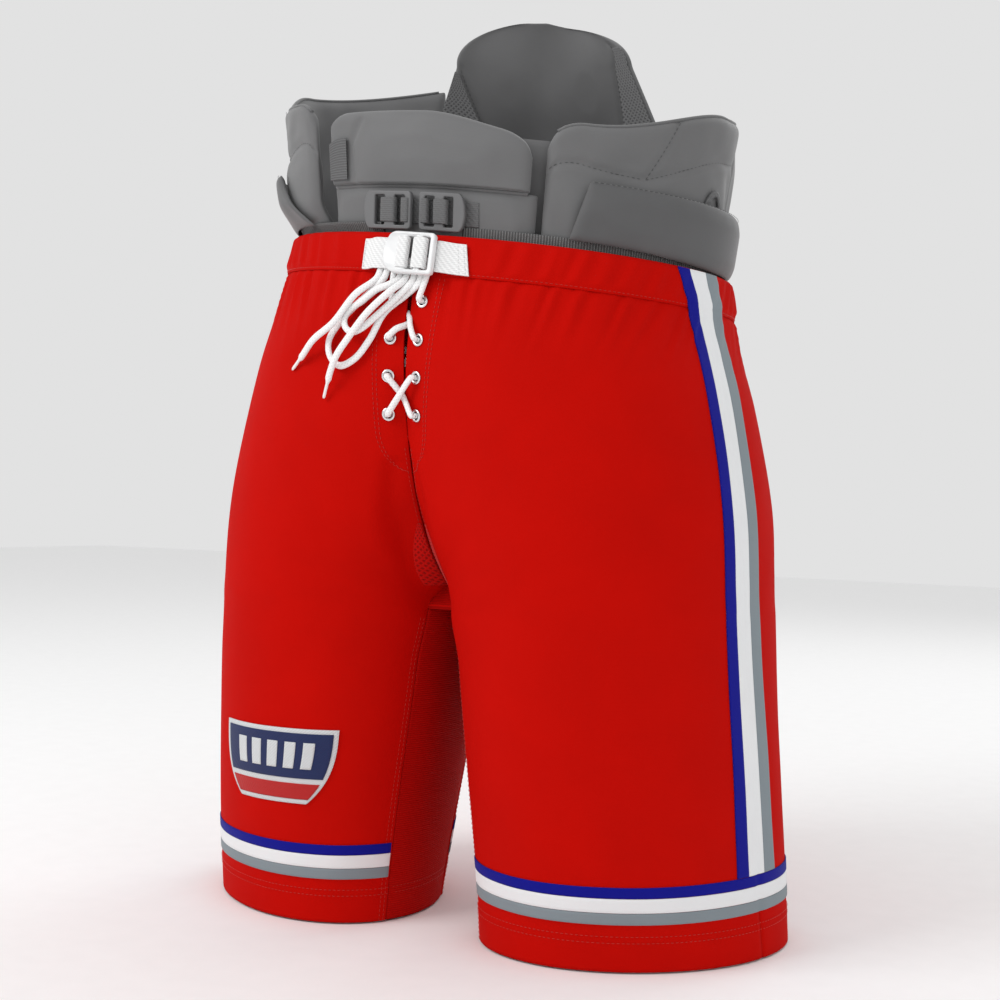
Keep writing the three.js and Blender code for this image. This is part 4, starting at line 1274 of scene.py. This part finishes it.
def plate(name, loops, thick, bevel, place, material, dome=None):
    """A plate with holes and rounded edges; place(x, out, up) puts its points on the garment."""
    curve = bpy.data.curves.new(name + "_outline", "CURVE")
    curve.dimensions = "2D"
    curve.fill_mode = "BOTH"
    for loop in loops:
        spline = curve.splines.new("POLY")
        spline.points.add(len(loop) - 1)
        for at, (x, y) in zip(spline.points, loop):
            at.co = (x, y, 0, 1)
        spline.use_cyclic_u = True
    curve.extrude = thick / 2 - bevel
    curve.bevel_depth = bevel
    curve.bevel_resolution = 2
    curve.offset = -bevel
    holder = bpy.data.objects.new(name + "_outline", curve)
    bpy.context.scene.collection.objects.link(holder)
    graph = bpy.context.evaluated_depsgraph_get()
    mesh = bpy.data.meshes.new_from_object(holder.evaluated_get(graph))
    bpy.data.objects.remove(holder)
    bpy.data.curves.remove(curve)
    for v in mesh.vertices:
        out = v.co.z + thick / 2
        if dome:
            out += dome(v.co.x, v.co.y) * (v.co.z / thick + 0.5)
        v.co = metres(place(v.co.x, out, v.co.y))
    mesh.materials.clear()
    mesh.materials.append(MATERIALS[material])
    for p in mesh.polygons:
        p.use_smooth = True
        p.material_index = 0
    mesh.set_sharp_from_angle(angle=math.radians(50))
    obj = bpy.data.objects.new(name, mesh)
    bpy.context.scene.collection.objects.link(obj)
    return obj


def belt():
    loops = ladder_outlines(-7, 25, 16.5, 14, BELT_SLOTS)
    buckle = plate(
        "white_ladder_buckle", loops, BUCKLE_THICK, 1.1,
        lambda x, out, up: flat_belt(x + BUCKLE_MIDDLE, BELT_STANDOFF + out, up), "belt_plastic",
        dome=lambda x, y: 1.3 * bump(x + 20, 7) - 2.6 * smooth((-x - 22) / 8),
    )
    settle(buckle, "belt_buckle", "buckle_white", "belt_buckle")
    sewn = SEWN_FACE + WEBBING_THICK / 2
    profile = [(-44, sewn), (-39, sewn + 0.2), (-31, 8.1), (-20, 8.2), (-9, 8.2)]
    right = strip("strap_right_webbing", profile, on_belt, "belt_webbing", WEBBING_WIDTH)
    settle(right, "garment", "webbing_white", "belt_strap_right")
    profile = [(24, 7.6), (27, 7.8), (32, 6.4), (39, sewn + 0.4), (49, sewn)]
    left = strip("strap_left_webbing", profile, slanted_belt, "belt_webbing", WEBBING_WIDTH)
    settle(left, "garment", "webbing_white", "belt_strap_left")
    over = BELT_STANDOFF + BUCKLE_THICK + WEBBING_THICK / 2 + 0.2
    profile = [(-7.2, 13.8), (-6.2, over - 0.2), (-3.5, over), (0, over), (1.6, over - 0.7), (2.6, 11)]
    near_tab = strip("buckle_webbing_near_tab", profile, flat_belt, "belt_webbing", WEBBING_WIDTH - 0.4)
    settle(near_tab, "belt_buckle", "webbing_white", "belt_webbing_loop")
    profile = [(6.2, 11), (7.2, over - 0.6), (9.2, over + 0.1), (15, over + 0.1), (17.6, over - 0.6)]
    profile += [(18.8, 11)]
    over_bar = strip("buckle_webbing_over_bar", profile, flat_belt, "belt_webbing", WEBBING_WIDTH - 0.4)
    settle(over_bar, "belt_buckle", "webbing_white")
    belt_stitches()


def slanted_belt(x, out, up):
    """The cut end of the left strap slants."""
    return on_belt(x - 0.19 * up * smooth((x - 30) / 15), out, up)


def belt_stitches():
    """Bar tacks that hold the straps to the waistband."""
    face = SEWN_FACE + WEBBING_THICK
    tacks = (("right", -42.6, on_belt), ("left", 46.6, slanted_belt), ("left_in", 41.8, slanted_belt))
    for name, x, place in tacks:
        line = [place(x, face + 0.15, up) for up in (-11, -5, 0, 5, 11)]
        normals = [Vector((0, -1, 0))] * 5
        stitches(f"belt_tack_{name}", line, normals, "white_thread", "garment", "webbing_white", 1.8, 0.7)


# ---- Pads ------------------------------------------------------------------------------------
def on_pads(angle, z, out, side=1):
    """A point of the ring of pads, at an angle all round and a distance outside its face."""
    t = math.radians(angle)
    rise = clamp((z - WAIST_Z) / (RING_TOP_Z - WAIST_Z), -0.5, 1.4)
    a, b = (radius + growth * rise + out for radius, growth in zip(RING_RADII, RING_GROWTH))
    return Vector((side * a * math.sin(t), RING_Y - b * math.cos(t), z))


def from_ring(p):
    """The outward direction of the ring of pads at a point."""
    return Vector((p.x, p.y - RING_Y, 0)).normalized()


def upwards(_):
    return UP


def pillow(name, surface, nu, nv, thick, material, size, flip, square):
    """A closed padded form: surface(u, v, lift) with thickness that rounds off to its edges.

    size is the pad's width and height along the cloth. square names an edge, top or foot, that
    keeps its full thickness.
    """
    points, weave, faces = [], [], []
    for inner in (1, -1):
        for j in range(nv + 1):
            for i in range(nu + 1):
                u, v = i / nu, j / nv
                edge = min(u * size[0], (1 - u) * size[0])
                if square != "foot":
                    edge = min(edge, v * size[1])
                if square != "top":
                    edge = min(edge, (1 - v) * size[1])
                k = clamp(edge / PAD_RIM)
                half = thick / 2 * (0.12 + 0.88 * math.sqrt(max(0, 1 - (1 - k) ** 2)))
                points.append(surface(u, v, inner * half))
                weave.append((u * size[0], v * size[1], 0))
    layer = (nu + 1) * (nv + 1)

    def at(i, j, inner):
        return (layer if inner else 0) + j * (nu + 1) + i

    for j in range(nv):
        for i in range(nu):
            faces.append((at(i, j, 0), at(i + 1, j, 0), at(i + 1, j + 1, 0), at(i, j + 1, 0)))
            faces.append((at(i, j, 1), at(i, j + 1, 1), at(i + 1, j + 1, 1), at(i + 1, j, 1)))
    for i in range(nu):
        faces.append((at(i, 0, 1), at(i + 1, 0, 1), at(i + 1, 0, 0), at(i, 0, 0)))
        faces.append((at(i, nv, 0), at(i + 1, nv, 0), at(i + 1, nv, 1), at(i, nv, 1)))
    for j in range(nv):
        faces.append((at(0, j, 1), at(0, j, 0), at(0, j + 1, 0), at(0, j + 1, 1)))
        faces.append((at(nu, j, 0), at(nu, j, 1), at(nu, j + 1, 1), at(nu, j + 1, 0)))
    if flip:
        faces = [f[::-1] for f in faces]
    return piece(name, points, faces, material, weave)


def inflate(obj, seams, size, cap, calm):
    """Cloth simulation: pressure fills the pad between its seams, which stay put.

    seams are lines of (u, v) points in the pad's own coordinates; its rim is held as well.
    cap is the most that a point may move, and calm is how many times the movement is evened out
    between neighbouring points.
    """
    frames = 20
    mesh = obj.data
    held = set()
    for v in mesh.vertices:
        u, w, _ = mesh.attributes["weave"].data[v.index].vector
        edge = min(u, size[0] - u, w, size[1] - w)
        if edge < 2.5 or any(near_line((u, w), line) < 2.6 for line in seams):
            held.add(v.index)
    group = obj.vertex_groups.new(name="held")
    group.add(list(held), 1.0, "REPLACE")
    rest = [v.co.copy() for v in mesh.vertices]
    cloth = obj.modifiers.new("Cloth", "CLOTH")
    settings = cloth.settings
    settings.quality = 4
    settings.mass = 0.3
    settings.tension_stiffness = 12
    settings.compression_stiffness = 12
    settings.bending_stiffness = 0.4
    settings.shrink_min = -0.03
    settings.use_pressure = True
    settings.uniform_pressure_force = 4.0
    settings.vertex_group_mass = "held"
    settings.effector_weights.gravity = 0
    cloth.point_cache.frame_start = 1
    cloth.point_cache.frame_end = frames
    for f in range(1, frames + 1):
        bpy.context.scene.frame_set(f)
    graph = bpy.context.evaluated_depsgraph_get()
    moved = [v.co.copy() for v in obj.evaluated_get(graph).data.vertices]
    obj.modifiers.remove(cloth)
    obj.vertex_groups.remove(group)
    shifts = evened([b - a for a, b in zip(rest, moved)], mesh, held, calm)
    for v, a, shift in zip(mesh.vertices, rest, shifts):
        if shift.length > cap * MM:
            shift = shift.normalized() * cap * MM
        v.co = a + shift
    mesh.update()
    bpy.context.scene.frame_set(1)


def evened(shifts, mesh, held, times):
    """Evens out the free points' movements between neighbours."""
    near = [[] for _ in shifts]
    for edge in mesh.edges:
        i, j = edge.vertices
        near[i].append(j)
        near[j].append(i)

    def even(i):
        if i in held:
            return shifts[i]
        return (shifts[i] + sum((shifts[j] for j in near[i]), Vector())) / (1 + len(near[i]))

    for _ in range(times):
        shifts = [even(i) for i in range(len(shifts))]
    return shifts


def near_line(p, line):
    """Distance from a point to a line of straight stretches."""
    best = math.inf
    for (x0, y0), (x1, y1) in zip(line, line[1:]):
        dx, dy = x1 - x0, y1 - y0
        k = clamp(((p[0] - x0) * dx + (p[1] - y0) * dy) / max(1e-9, dx * dx + dy * dy))
        best = min(best, math.hypot(p[0] - x0 - k * dx, p[1] - y0 - k * dy))
    return best


def groove(lines, x, y):
    """Depth of the sewn channels at a place of the pad."""
    depth, width = 2.2, 2.6
    return -depth * max([bump(near_line((x, y), line), width) for line in lines], default=0)


def soft_pad(
    name, node, surface, size, nu, nv, cap, seams=(), thick=PAD_THICK, material="pad", body="garment",
    slot="pad_grey", flip=False, square="", calm=6,
):
    """A padded piece: shaped, sewn, filled by cloth simulation and smoothed."""

    def grooved(u, v, half):
        dip = groove(seams, u * size[0], v * size[1]) if half > 0 else 0
        return surface(u, v, half + dip)

    obj = pillow(name, grooved, nu, nv, thick, material, size, flip, square)
    inflate(obj, seams, size, cap, calm)
    finer = obj.modifiers.new("subdivision", "SUBSURF")
    finer.levels = finer.render_levels = 1
    settle(obj, body, slot, node)


def rounded_top(u, span_deg, corner):
    """How far the top edge of a pad drops at its rounded corners."""
    mm_per_degree = 2.8
    edge = min(u, 1 - u) * span_deg * mm_per_degree
    if edge >= corner:
        return 0
    return corner - math.sqrt(max(0, corner * corner - (corner - edge) ** 2))


def kidney_top(name, angle):
    at_front, at_side, at_rear = KIDNEY_TOPS[name]
    dip = 11 * bump(angle - 68, 14) if name == "right" else 0
    if angle > 90:
        return lerp(at_side, at_rear, ((angle - 90) / (KIDNEY_TO - 90)) ** 1.3) - dip
    return lerp(at_front, at_side, smooth((angle - 40) / 50)) - dip


def pad_lean(name, angle, z):
    """How far a hip's pads lean outwards above the waistband."""
    return PAD_FLARE[name] * smooth((z - 545) / 30) * smooth((130 - angle) / 45)


def kidney_pads():
    mm_per_degree = 3.1
    for name, side in SIDES.items():
        start = KIDNEY_FROM[name]
        size = (mm_per_degree * (KIDNEY_TO - start), 170)
        lead = mm_per_degree * (36 - start)

        def surface(u, v, half):
            angle = lerp(start, KIDNEY_TO, u)
            top = kidney_top(name, angle) - 0.8 * rounded_top(u / 2, 2 * (KIDNEY_TO - start), 26)
            z = lerp(PAD_FOOT_Z, top, v)
            return on_pads(angle, z, RING_OUT + half + pad_lean(name, angle, z), side)

        # a V of seams on the outer side, in millimetres from the pad's front lower corner
        seams = [
            [(2, 139), (65 + lead, 122)],
            [(65 + lead, 122), (80 + lead, 146), (93 + lead, 169)],
            [(65 + lead, 122), (151 + lead, 134), (205 + lead, 137)],
            [(205 + lead, 0), (205 + lead, 137), (214 + lead, 168)],
        ]
        soft_pad(
            f"kidney_foam_{name}", f"kidney_pad_{name}", surface, size, 84, 44, 3.2, seams,
            flip=side < 0,
        )
        pad_stitches(f"kidney_stitch_{name}", surface, size, seams[:3], 5.2, "garment")
        arch_loop(name, side)
        pad_binding(f"kidney_binding_{name}", surface)


def pad_binding(name, surface):
    """A bound edge along the top of a pad."""
    line = [surface(lerp(0.02, 0.98, k / 60), 1, 0) for k in range(61)]
    settle(tube(name, line, upwards, 1.7, 1.4, "pad"), "garment", "pad_grey")


def pad_stitches(name, surface, size, seams, lift, body):
    for k, seam in enumerate(seams):
        line = resample([Vector((x, y, 0)) for x, y in seam], 3)
        places = [surface(p.x / size[0], p.y / size[1], lift - 1.4) for p in line]
        above = [surface(p.x / size[0], p.y / size[1], lift) for p in line]
        normals = [(b - a).normalized() for a, b in zip(places, above)]
        stitches(f"{name}_{k + 1}", places, normals, "grey_thread", body, "pad_grey", *PAD_STITCH)


def arch_loop(name, side):
    """A small pull loop sewn to the kidney pad above the hip wing."""
    arc = []
    for k in range(13):
        a = math.pi * k / 12
        angle, z = 83 - 4.5 * math.cos(a), 588 + 23 * math.sin(a)
        arc.append(on_pads(angle, z, -2.2 + 2.5 * math.sin(a) + pad_lean(name, angle, z), side))
    obj = tube(f"pull_loop_{name}", resample(arc, 1.5), from_ring, 2.6, 1.0, "grey_webbing")
    settle(obj, "garment", "webbing_grey")


def front_pads():
    """The abdomen band, and the pad that folds down over it from the seam between them."""

    def band(u, v, half):
        return on_pads(lerp(-33, 29, u), lerp(512, ABDOMEN_SEAM_Z - 0.6, v), RING_OUT + half)

    soft_pad("abdomen_band_foam", "abdomen_band", band, (160, 74.4), 56, 26, 2.5, square="top")

    def pad(u, v, half):
        angle = lerp(-31, 27, u)
        top = ABDOMEN_TOP_Z - 14 * smooth(angle / 27) - 0.8 * rounded_top(u, 58, 22)
        return on_pads(angle, lerp(ABDOMEN_SEAM_Z, top, v), ABDOMEN_OUT + half)

    soft_pad(
        "abdomen_foam", "abdomen_pad", pad, (150, 58), 56, 26, 3.5, [[(26, 0), (24, 30), (34, 50)]],
        body="abdomen", square="foot", calm=16,
    )

    def rib_edge(u, v):
        return pad(lerp(0.03, 0.15, u), lerp(0.05, 0.62, v), 7.2)

    settle(sheet_piece("abdomen_rib_edge", rib_edge, 10, 20, 0.5, "pad_rib"), "abdomen", "pad_grey")
    seam = [on_pads(lerp(-30.5, 26.5, k / 40), ABDOMEN_SEAM_Z - 0.8, -5.2) for k in range(41)]
    settle(tube("abdomen_seam_piping", seam, upwards, 1.9, 1.7, "pad"), "garment", "pad_grey")


def knit_strip():
    """The knit edge of the inner pants, seen above the waistband beside and below the pads."""
    start, end = 11, 139
    for name, side in SIDES.items():
        def place(u, v):
            angle = lerp(start, end, u)
            z = lerp(lerp(546, 541, smooth((angle - start) / 25)), 556, v)
            ripple = 0.6 * math.sin(angle * 3.9) * (v * (1 - v))
            out = lerp(-1.5, -0.9, smooth((angle - 30) / 8))
            return on_pads(angle, z, out + ripple + pad_lean(name, angle, z), side)

        obj = sheet_piece(f"knit_edge_{name}", place, 420, 8, 1.6, "knit_strip", flip=side < 0)
        settle(obj, "garment", "pad_grey")


def knit_backing():
    """The knit of the inner pants, which joins the pads of the ring behind their gaps."""
    for name, start, end, top in (("front", -38, 38, 630), ("back", 131, 229, 664)):
        def place(u, v):
            return on_pads(lerp(start, end, u), lerp(505, top, v), -18.5)

        settle(sheet_piece(f"knit_backing_{name}", place, 60, 24, 1.4, "pad"), "garment", "pad_grey")


def hip_wings():
    for name, side in SIDES.items():
        top_from = 41 if side > 0 else 56

        def surface(u, v, half):
            angle = lerp(lerp(37, top_from, v), 118, u)
            z = lerp(lerp(*WING_LOW_Z, smooth((angle - 40) / 50)), WING_TOP_Z, v)
            return on_pads(angle, z, WING_OUT + half + pad_lean(name, angle, z), side)

        body = f"wing_{name}"
        soft_pad(
            f"hip_wing_foam_{name}", f"hip_wing_{name}", surface, (210, 42), 70, 16, 2.0, thick=7.2,
            material="pad_dark", body=body, slot="pad_dark", flip=side < 0,
        )
        line = [surface(lerp(0.01, 0.99, k / 60), 0.985, 2.2) for k in range(61)]
        normals = [from_ring(p) for p in line]
        stitches(f"wing_stitch_{name}", line, normals, "grey_thread", body, "pad_dark", *PAD_STITCH)


def spine():
    """The back panel and the spine pad that folds back over its top edge."""

    def panel(u, v, half):
        return on_pads(lerp(143, 217, u), lerp(PAD_FOOT_Z, SPINE_HINGE_Z - 1, v), RING_OUT + half)

    soft_pad(
        "back_panel_foam", "back_panel", panel, (170, 172), 56, 50, 3.0,
        [[(0, 60), (170, 60)], [(0, 120), (170, 120)]], square="top",
    )
    size = (220, 112)
    seams = [[(47, 0), (26, 30), (7, 54)], [(176, 0), (190, 38), (205, 75)]]

    def facing(u, v, half):
        """The pad's inner side, which faces the front and shows its seams."""
        low, high = clamp(2 * v), clamp(2 * v - 1)
        turn = math.radians(83) * high
        z = lerp(SPINE_HINGE_Z, SPINE_CAP_Z, low) + (SPINE_TOP_Z - SPINE_CAP_Z) * math.sin(turn)
        z -= 5 * smooth(2 * v - 1) * smooth(1 - 2 * (1 - u))
        x = (1 - 2 * (1 - u)) * (lerp(118, 89, low) * math.cos(turn))
        y = SPINE_Y - 0.0034 * x * x - 0.42 * (z - SPINE_HINGE_Z)
        return Vector((x + SPINE_SHIFT, y - half, z))

    soft_pad(
        "spine_foam", "spine_pad", facing, size, 72, 40, 5.0, seams, thick=12.5, body="spine_bend",
        square="foot", calm=40,
    )
    pad_stitches("spine_stitch", facing, size, seams, 6.2, "spine_bend")
    hinge = [Vector((x, SPINE_Y - 0.0022 * x * x + 1.5, SPINE_HINGE_Z - 1)) for x in range(-104, 105, 4)]
    settle(tube("spine_hinge_tape", hinge, upwards, 8.5, 1.3, "pad", 12), "garment", "pad_grey")
    # mesh gussets outside the seams
    for name, outer, foot, head, top in (
        ("right", 0.015, 0.205, 0.035, 0.46),
        ("left", 0.985, 0.81, 0.93, 0.64),
    ):
        def place(u, v):
            return facing(lerp(outer, lerp(foot, head, v), u), lerp(0.03, top, v), 7.2)

        mesh = sheet_piece(f"spine_mesh_{name}", place, 10, 30, 0.5, "pad_mesh", flip=name == "left")
        settle(mesh, "spine_bend", "pad_grey")


def inner_buckles():
    """The webbing of the inner pants and its two ladder buckles, each flat across its own chord."""
    radius = 189
    strap_half = 9.5

    def y(x, out):
        return on_pads(math.degrees(math.asin(x / radius)), INNER_BUCKLE_Z, out + ABDOMEN_OUT).y

    for name, (begin, end) in INNER_BUCKLES.items():
        middle = (begin + end) / 2
        slope = math.atan2(y(end, 0) - y(begin, 0), end - begin)
        face = y(middle, 4.4)

        def place(x, out, up):
            px = x * math.cos(slope) + out * math.sin(slope)
            py = x * math.sin(slope) - out * math.cos(slope)
            return Vector((middle + px, face + py, INNER_BUCKLE_Z + up))

        tab = -1 if name == "right" else 1
        loops = ladder_outlines(begin, end, 15, 6, INNER_SLOTS, tab_side=tab)
        obj = plate(f"grey_ladder_buckle_{name}", loops, 4, 0.9, place, "grey_plastic")
        settle(obj, f"inner_buckle_{name}", "buckle_grey", f"inner_buckle_{name}")
        span = end - begin
        for k, shares in enumerate(((-0.24, 0.14), (0.26, 0.47))):
            x0, x1 = sorted(-tab * share * span for share in shares)
            profile = [(x0, 1.0), (x0 + 1, 4.4), ((x0 + x1) / 2, 4.9), (x1 - 1, 4.4), (x1, 1.0)]
            band = strip(
                f"buckle_band_{name}_{k + 1}", profile, place, "grey_webbing", 2 * strap_half, 1.2
            )
            settle(band, f"inner_buckle_{name}", "webbing_grey")

    def strap(u, v):
        x = lerp(-48, 48, u)
        return Vector((x, y(x, 2.3), lerp(INNER_BUCKLE_Z - strap_half, INNER_BUCKLE_Z + strap_half, v)))

    obj = sheet_piece("inner_webbing_strap", strap, 80, 16, 1.4, "grey_webbing")
    settle(obj, "garment", "webbing_grey", "inner_webbing")


def inner_shorts():
    """The liner of the legs, and the guards on the thighs."""
    seat = CROTCH_Z + 30
    for name, side in SIDES.items():
        liner = cloth_panel(
            f"liner_mesh_{name}", side, 70, 480,
            lambda z: middle_angle(z) + 2 if z > seat else -84,
            lambda z: back_middle(z) - 2 if z > seat else 264,
            2, "pad_mesh", 90, 70, out=-24, lift=liner_lift,
        )
        settle(liner, "garment", "pad_dark", f"liner_{name}")

        def surface(u, v, half):
            return on_shell(lerp(-18, 54, u), lerp(78, 375, v), -14 + half, side)

        soft_pad(
            f"thigh_guard_foam_{name}", f"thigh_guard_{name}", surface, (150, 297), 30, 50, 2.0,
            [[(0, 100), (150, 100)], [(0, 200), (150, 200)]], material="guard", slot="guard_plastic",
            flip=side < 0,
        )


def liner_lift(side, angle, z):
    return math.sin(angle * 0.11 + side) * math.sin(z * 0.03)


# ---- Studio ----------------------------------------------------------------------------------
def studio():
    """A pale floor and world, and three soft lights aimed at the garment's middle."""
    floor_mesh = bpy.data.meshes.new("floor")
    reach, floor_z = 6.0, -0.0015
    corners = [(x * reach, y * reach, floor_z) for x, y in ((-1, -1), (1, -1), (1, 1), (-1, 1))]
    floor_mesh.from_pydata(corners, [], [(0, 1, 2, 3)])
    paper = Shader("studio_paper", (0.93, 0.93, 0.93), 0.9, specular=0.1)
    grain = paper.noise(paper.vector("object"), 40.0, 2.0)
    paper.tint(grain, 0.01)
    floor_mesh.materials.append(paper.material)
    floor = bpy.data.objects.new("floor", floor_mesh)
    bpy.context.scene.collection.objects.link(floor)
    world = bpy.data.worlds.new("studio")
    world.use_nodes = True
    background = world.node_tree.nodes["Background"].inputs
    background["Color"].default_value = (1, 1, 1, 1)
    background["Strength"].default_value = 0.76
    bpy.context.scene.world = world
    for name, place, size, watts in (
        ("key", (-1.6, -2.15, 2.25), 1.6, 42),
        ("fill", (2.6, -1.4, 1.2), 2.2, 8),
        ("rim", (0.6, 2.4, 2.2), 1.6, 14),
    ):
        light = bpy.data.lights.new(name, "AREA")
        light.energy = watts
        light.size = size
        obj = bpy.data.objects.new(name, light)
        obj.location = place
        aim = Vector((0, 0, 0.38)) - Vector(place)
        obj.rotation_euler = aim.to_track_quat("-Z", "Y").to_euler()
        bpy.context.scene.collection.objects.link(obj)
    bpy.context.scene.view_settings.view_transform = "Standard"


for make in (
    shell, crotch_mesh, waistband, side_stripes, hem_stripes, seams, fly, seam_tapes, saddle, eyelets,
    laced_length, thigh_patch, belt, kidney_pads, front_pads, knit_strip, knit_backing, hip_wings, spine,
    inner_buckles, inner_shorts, studio,
):
    make()
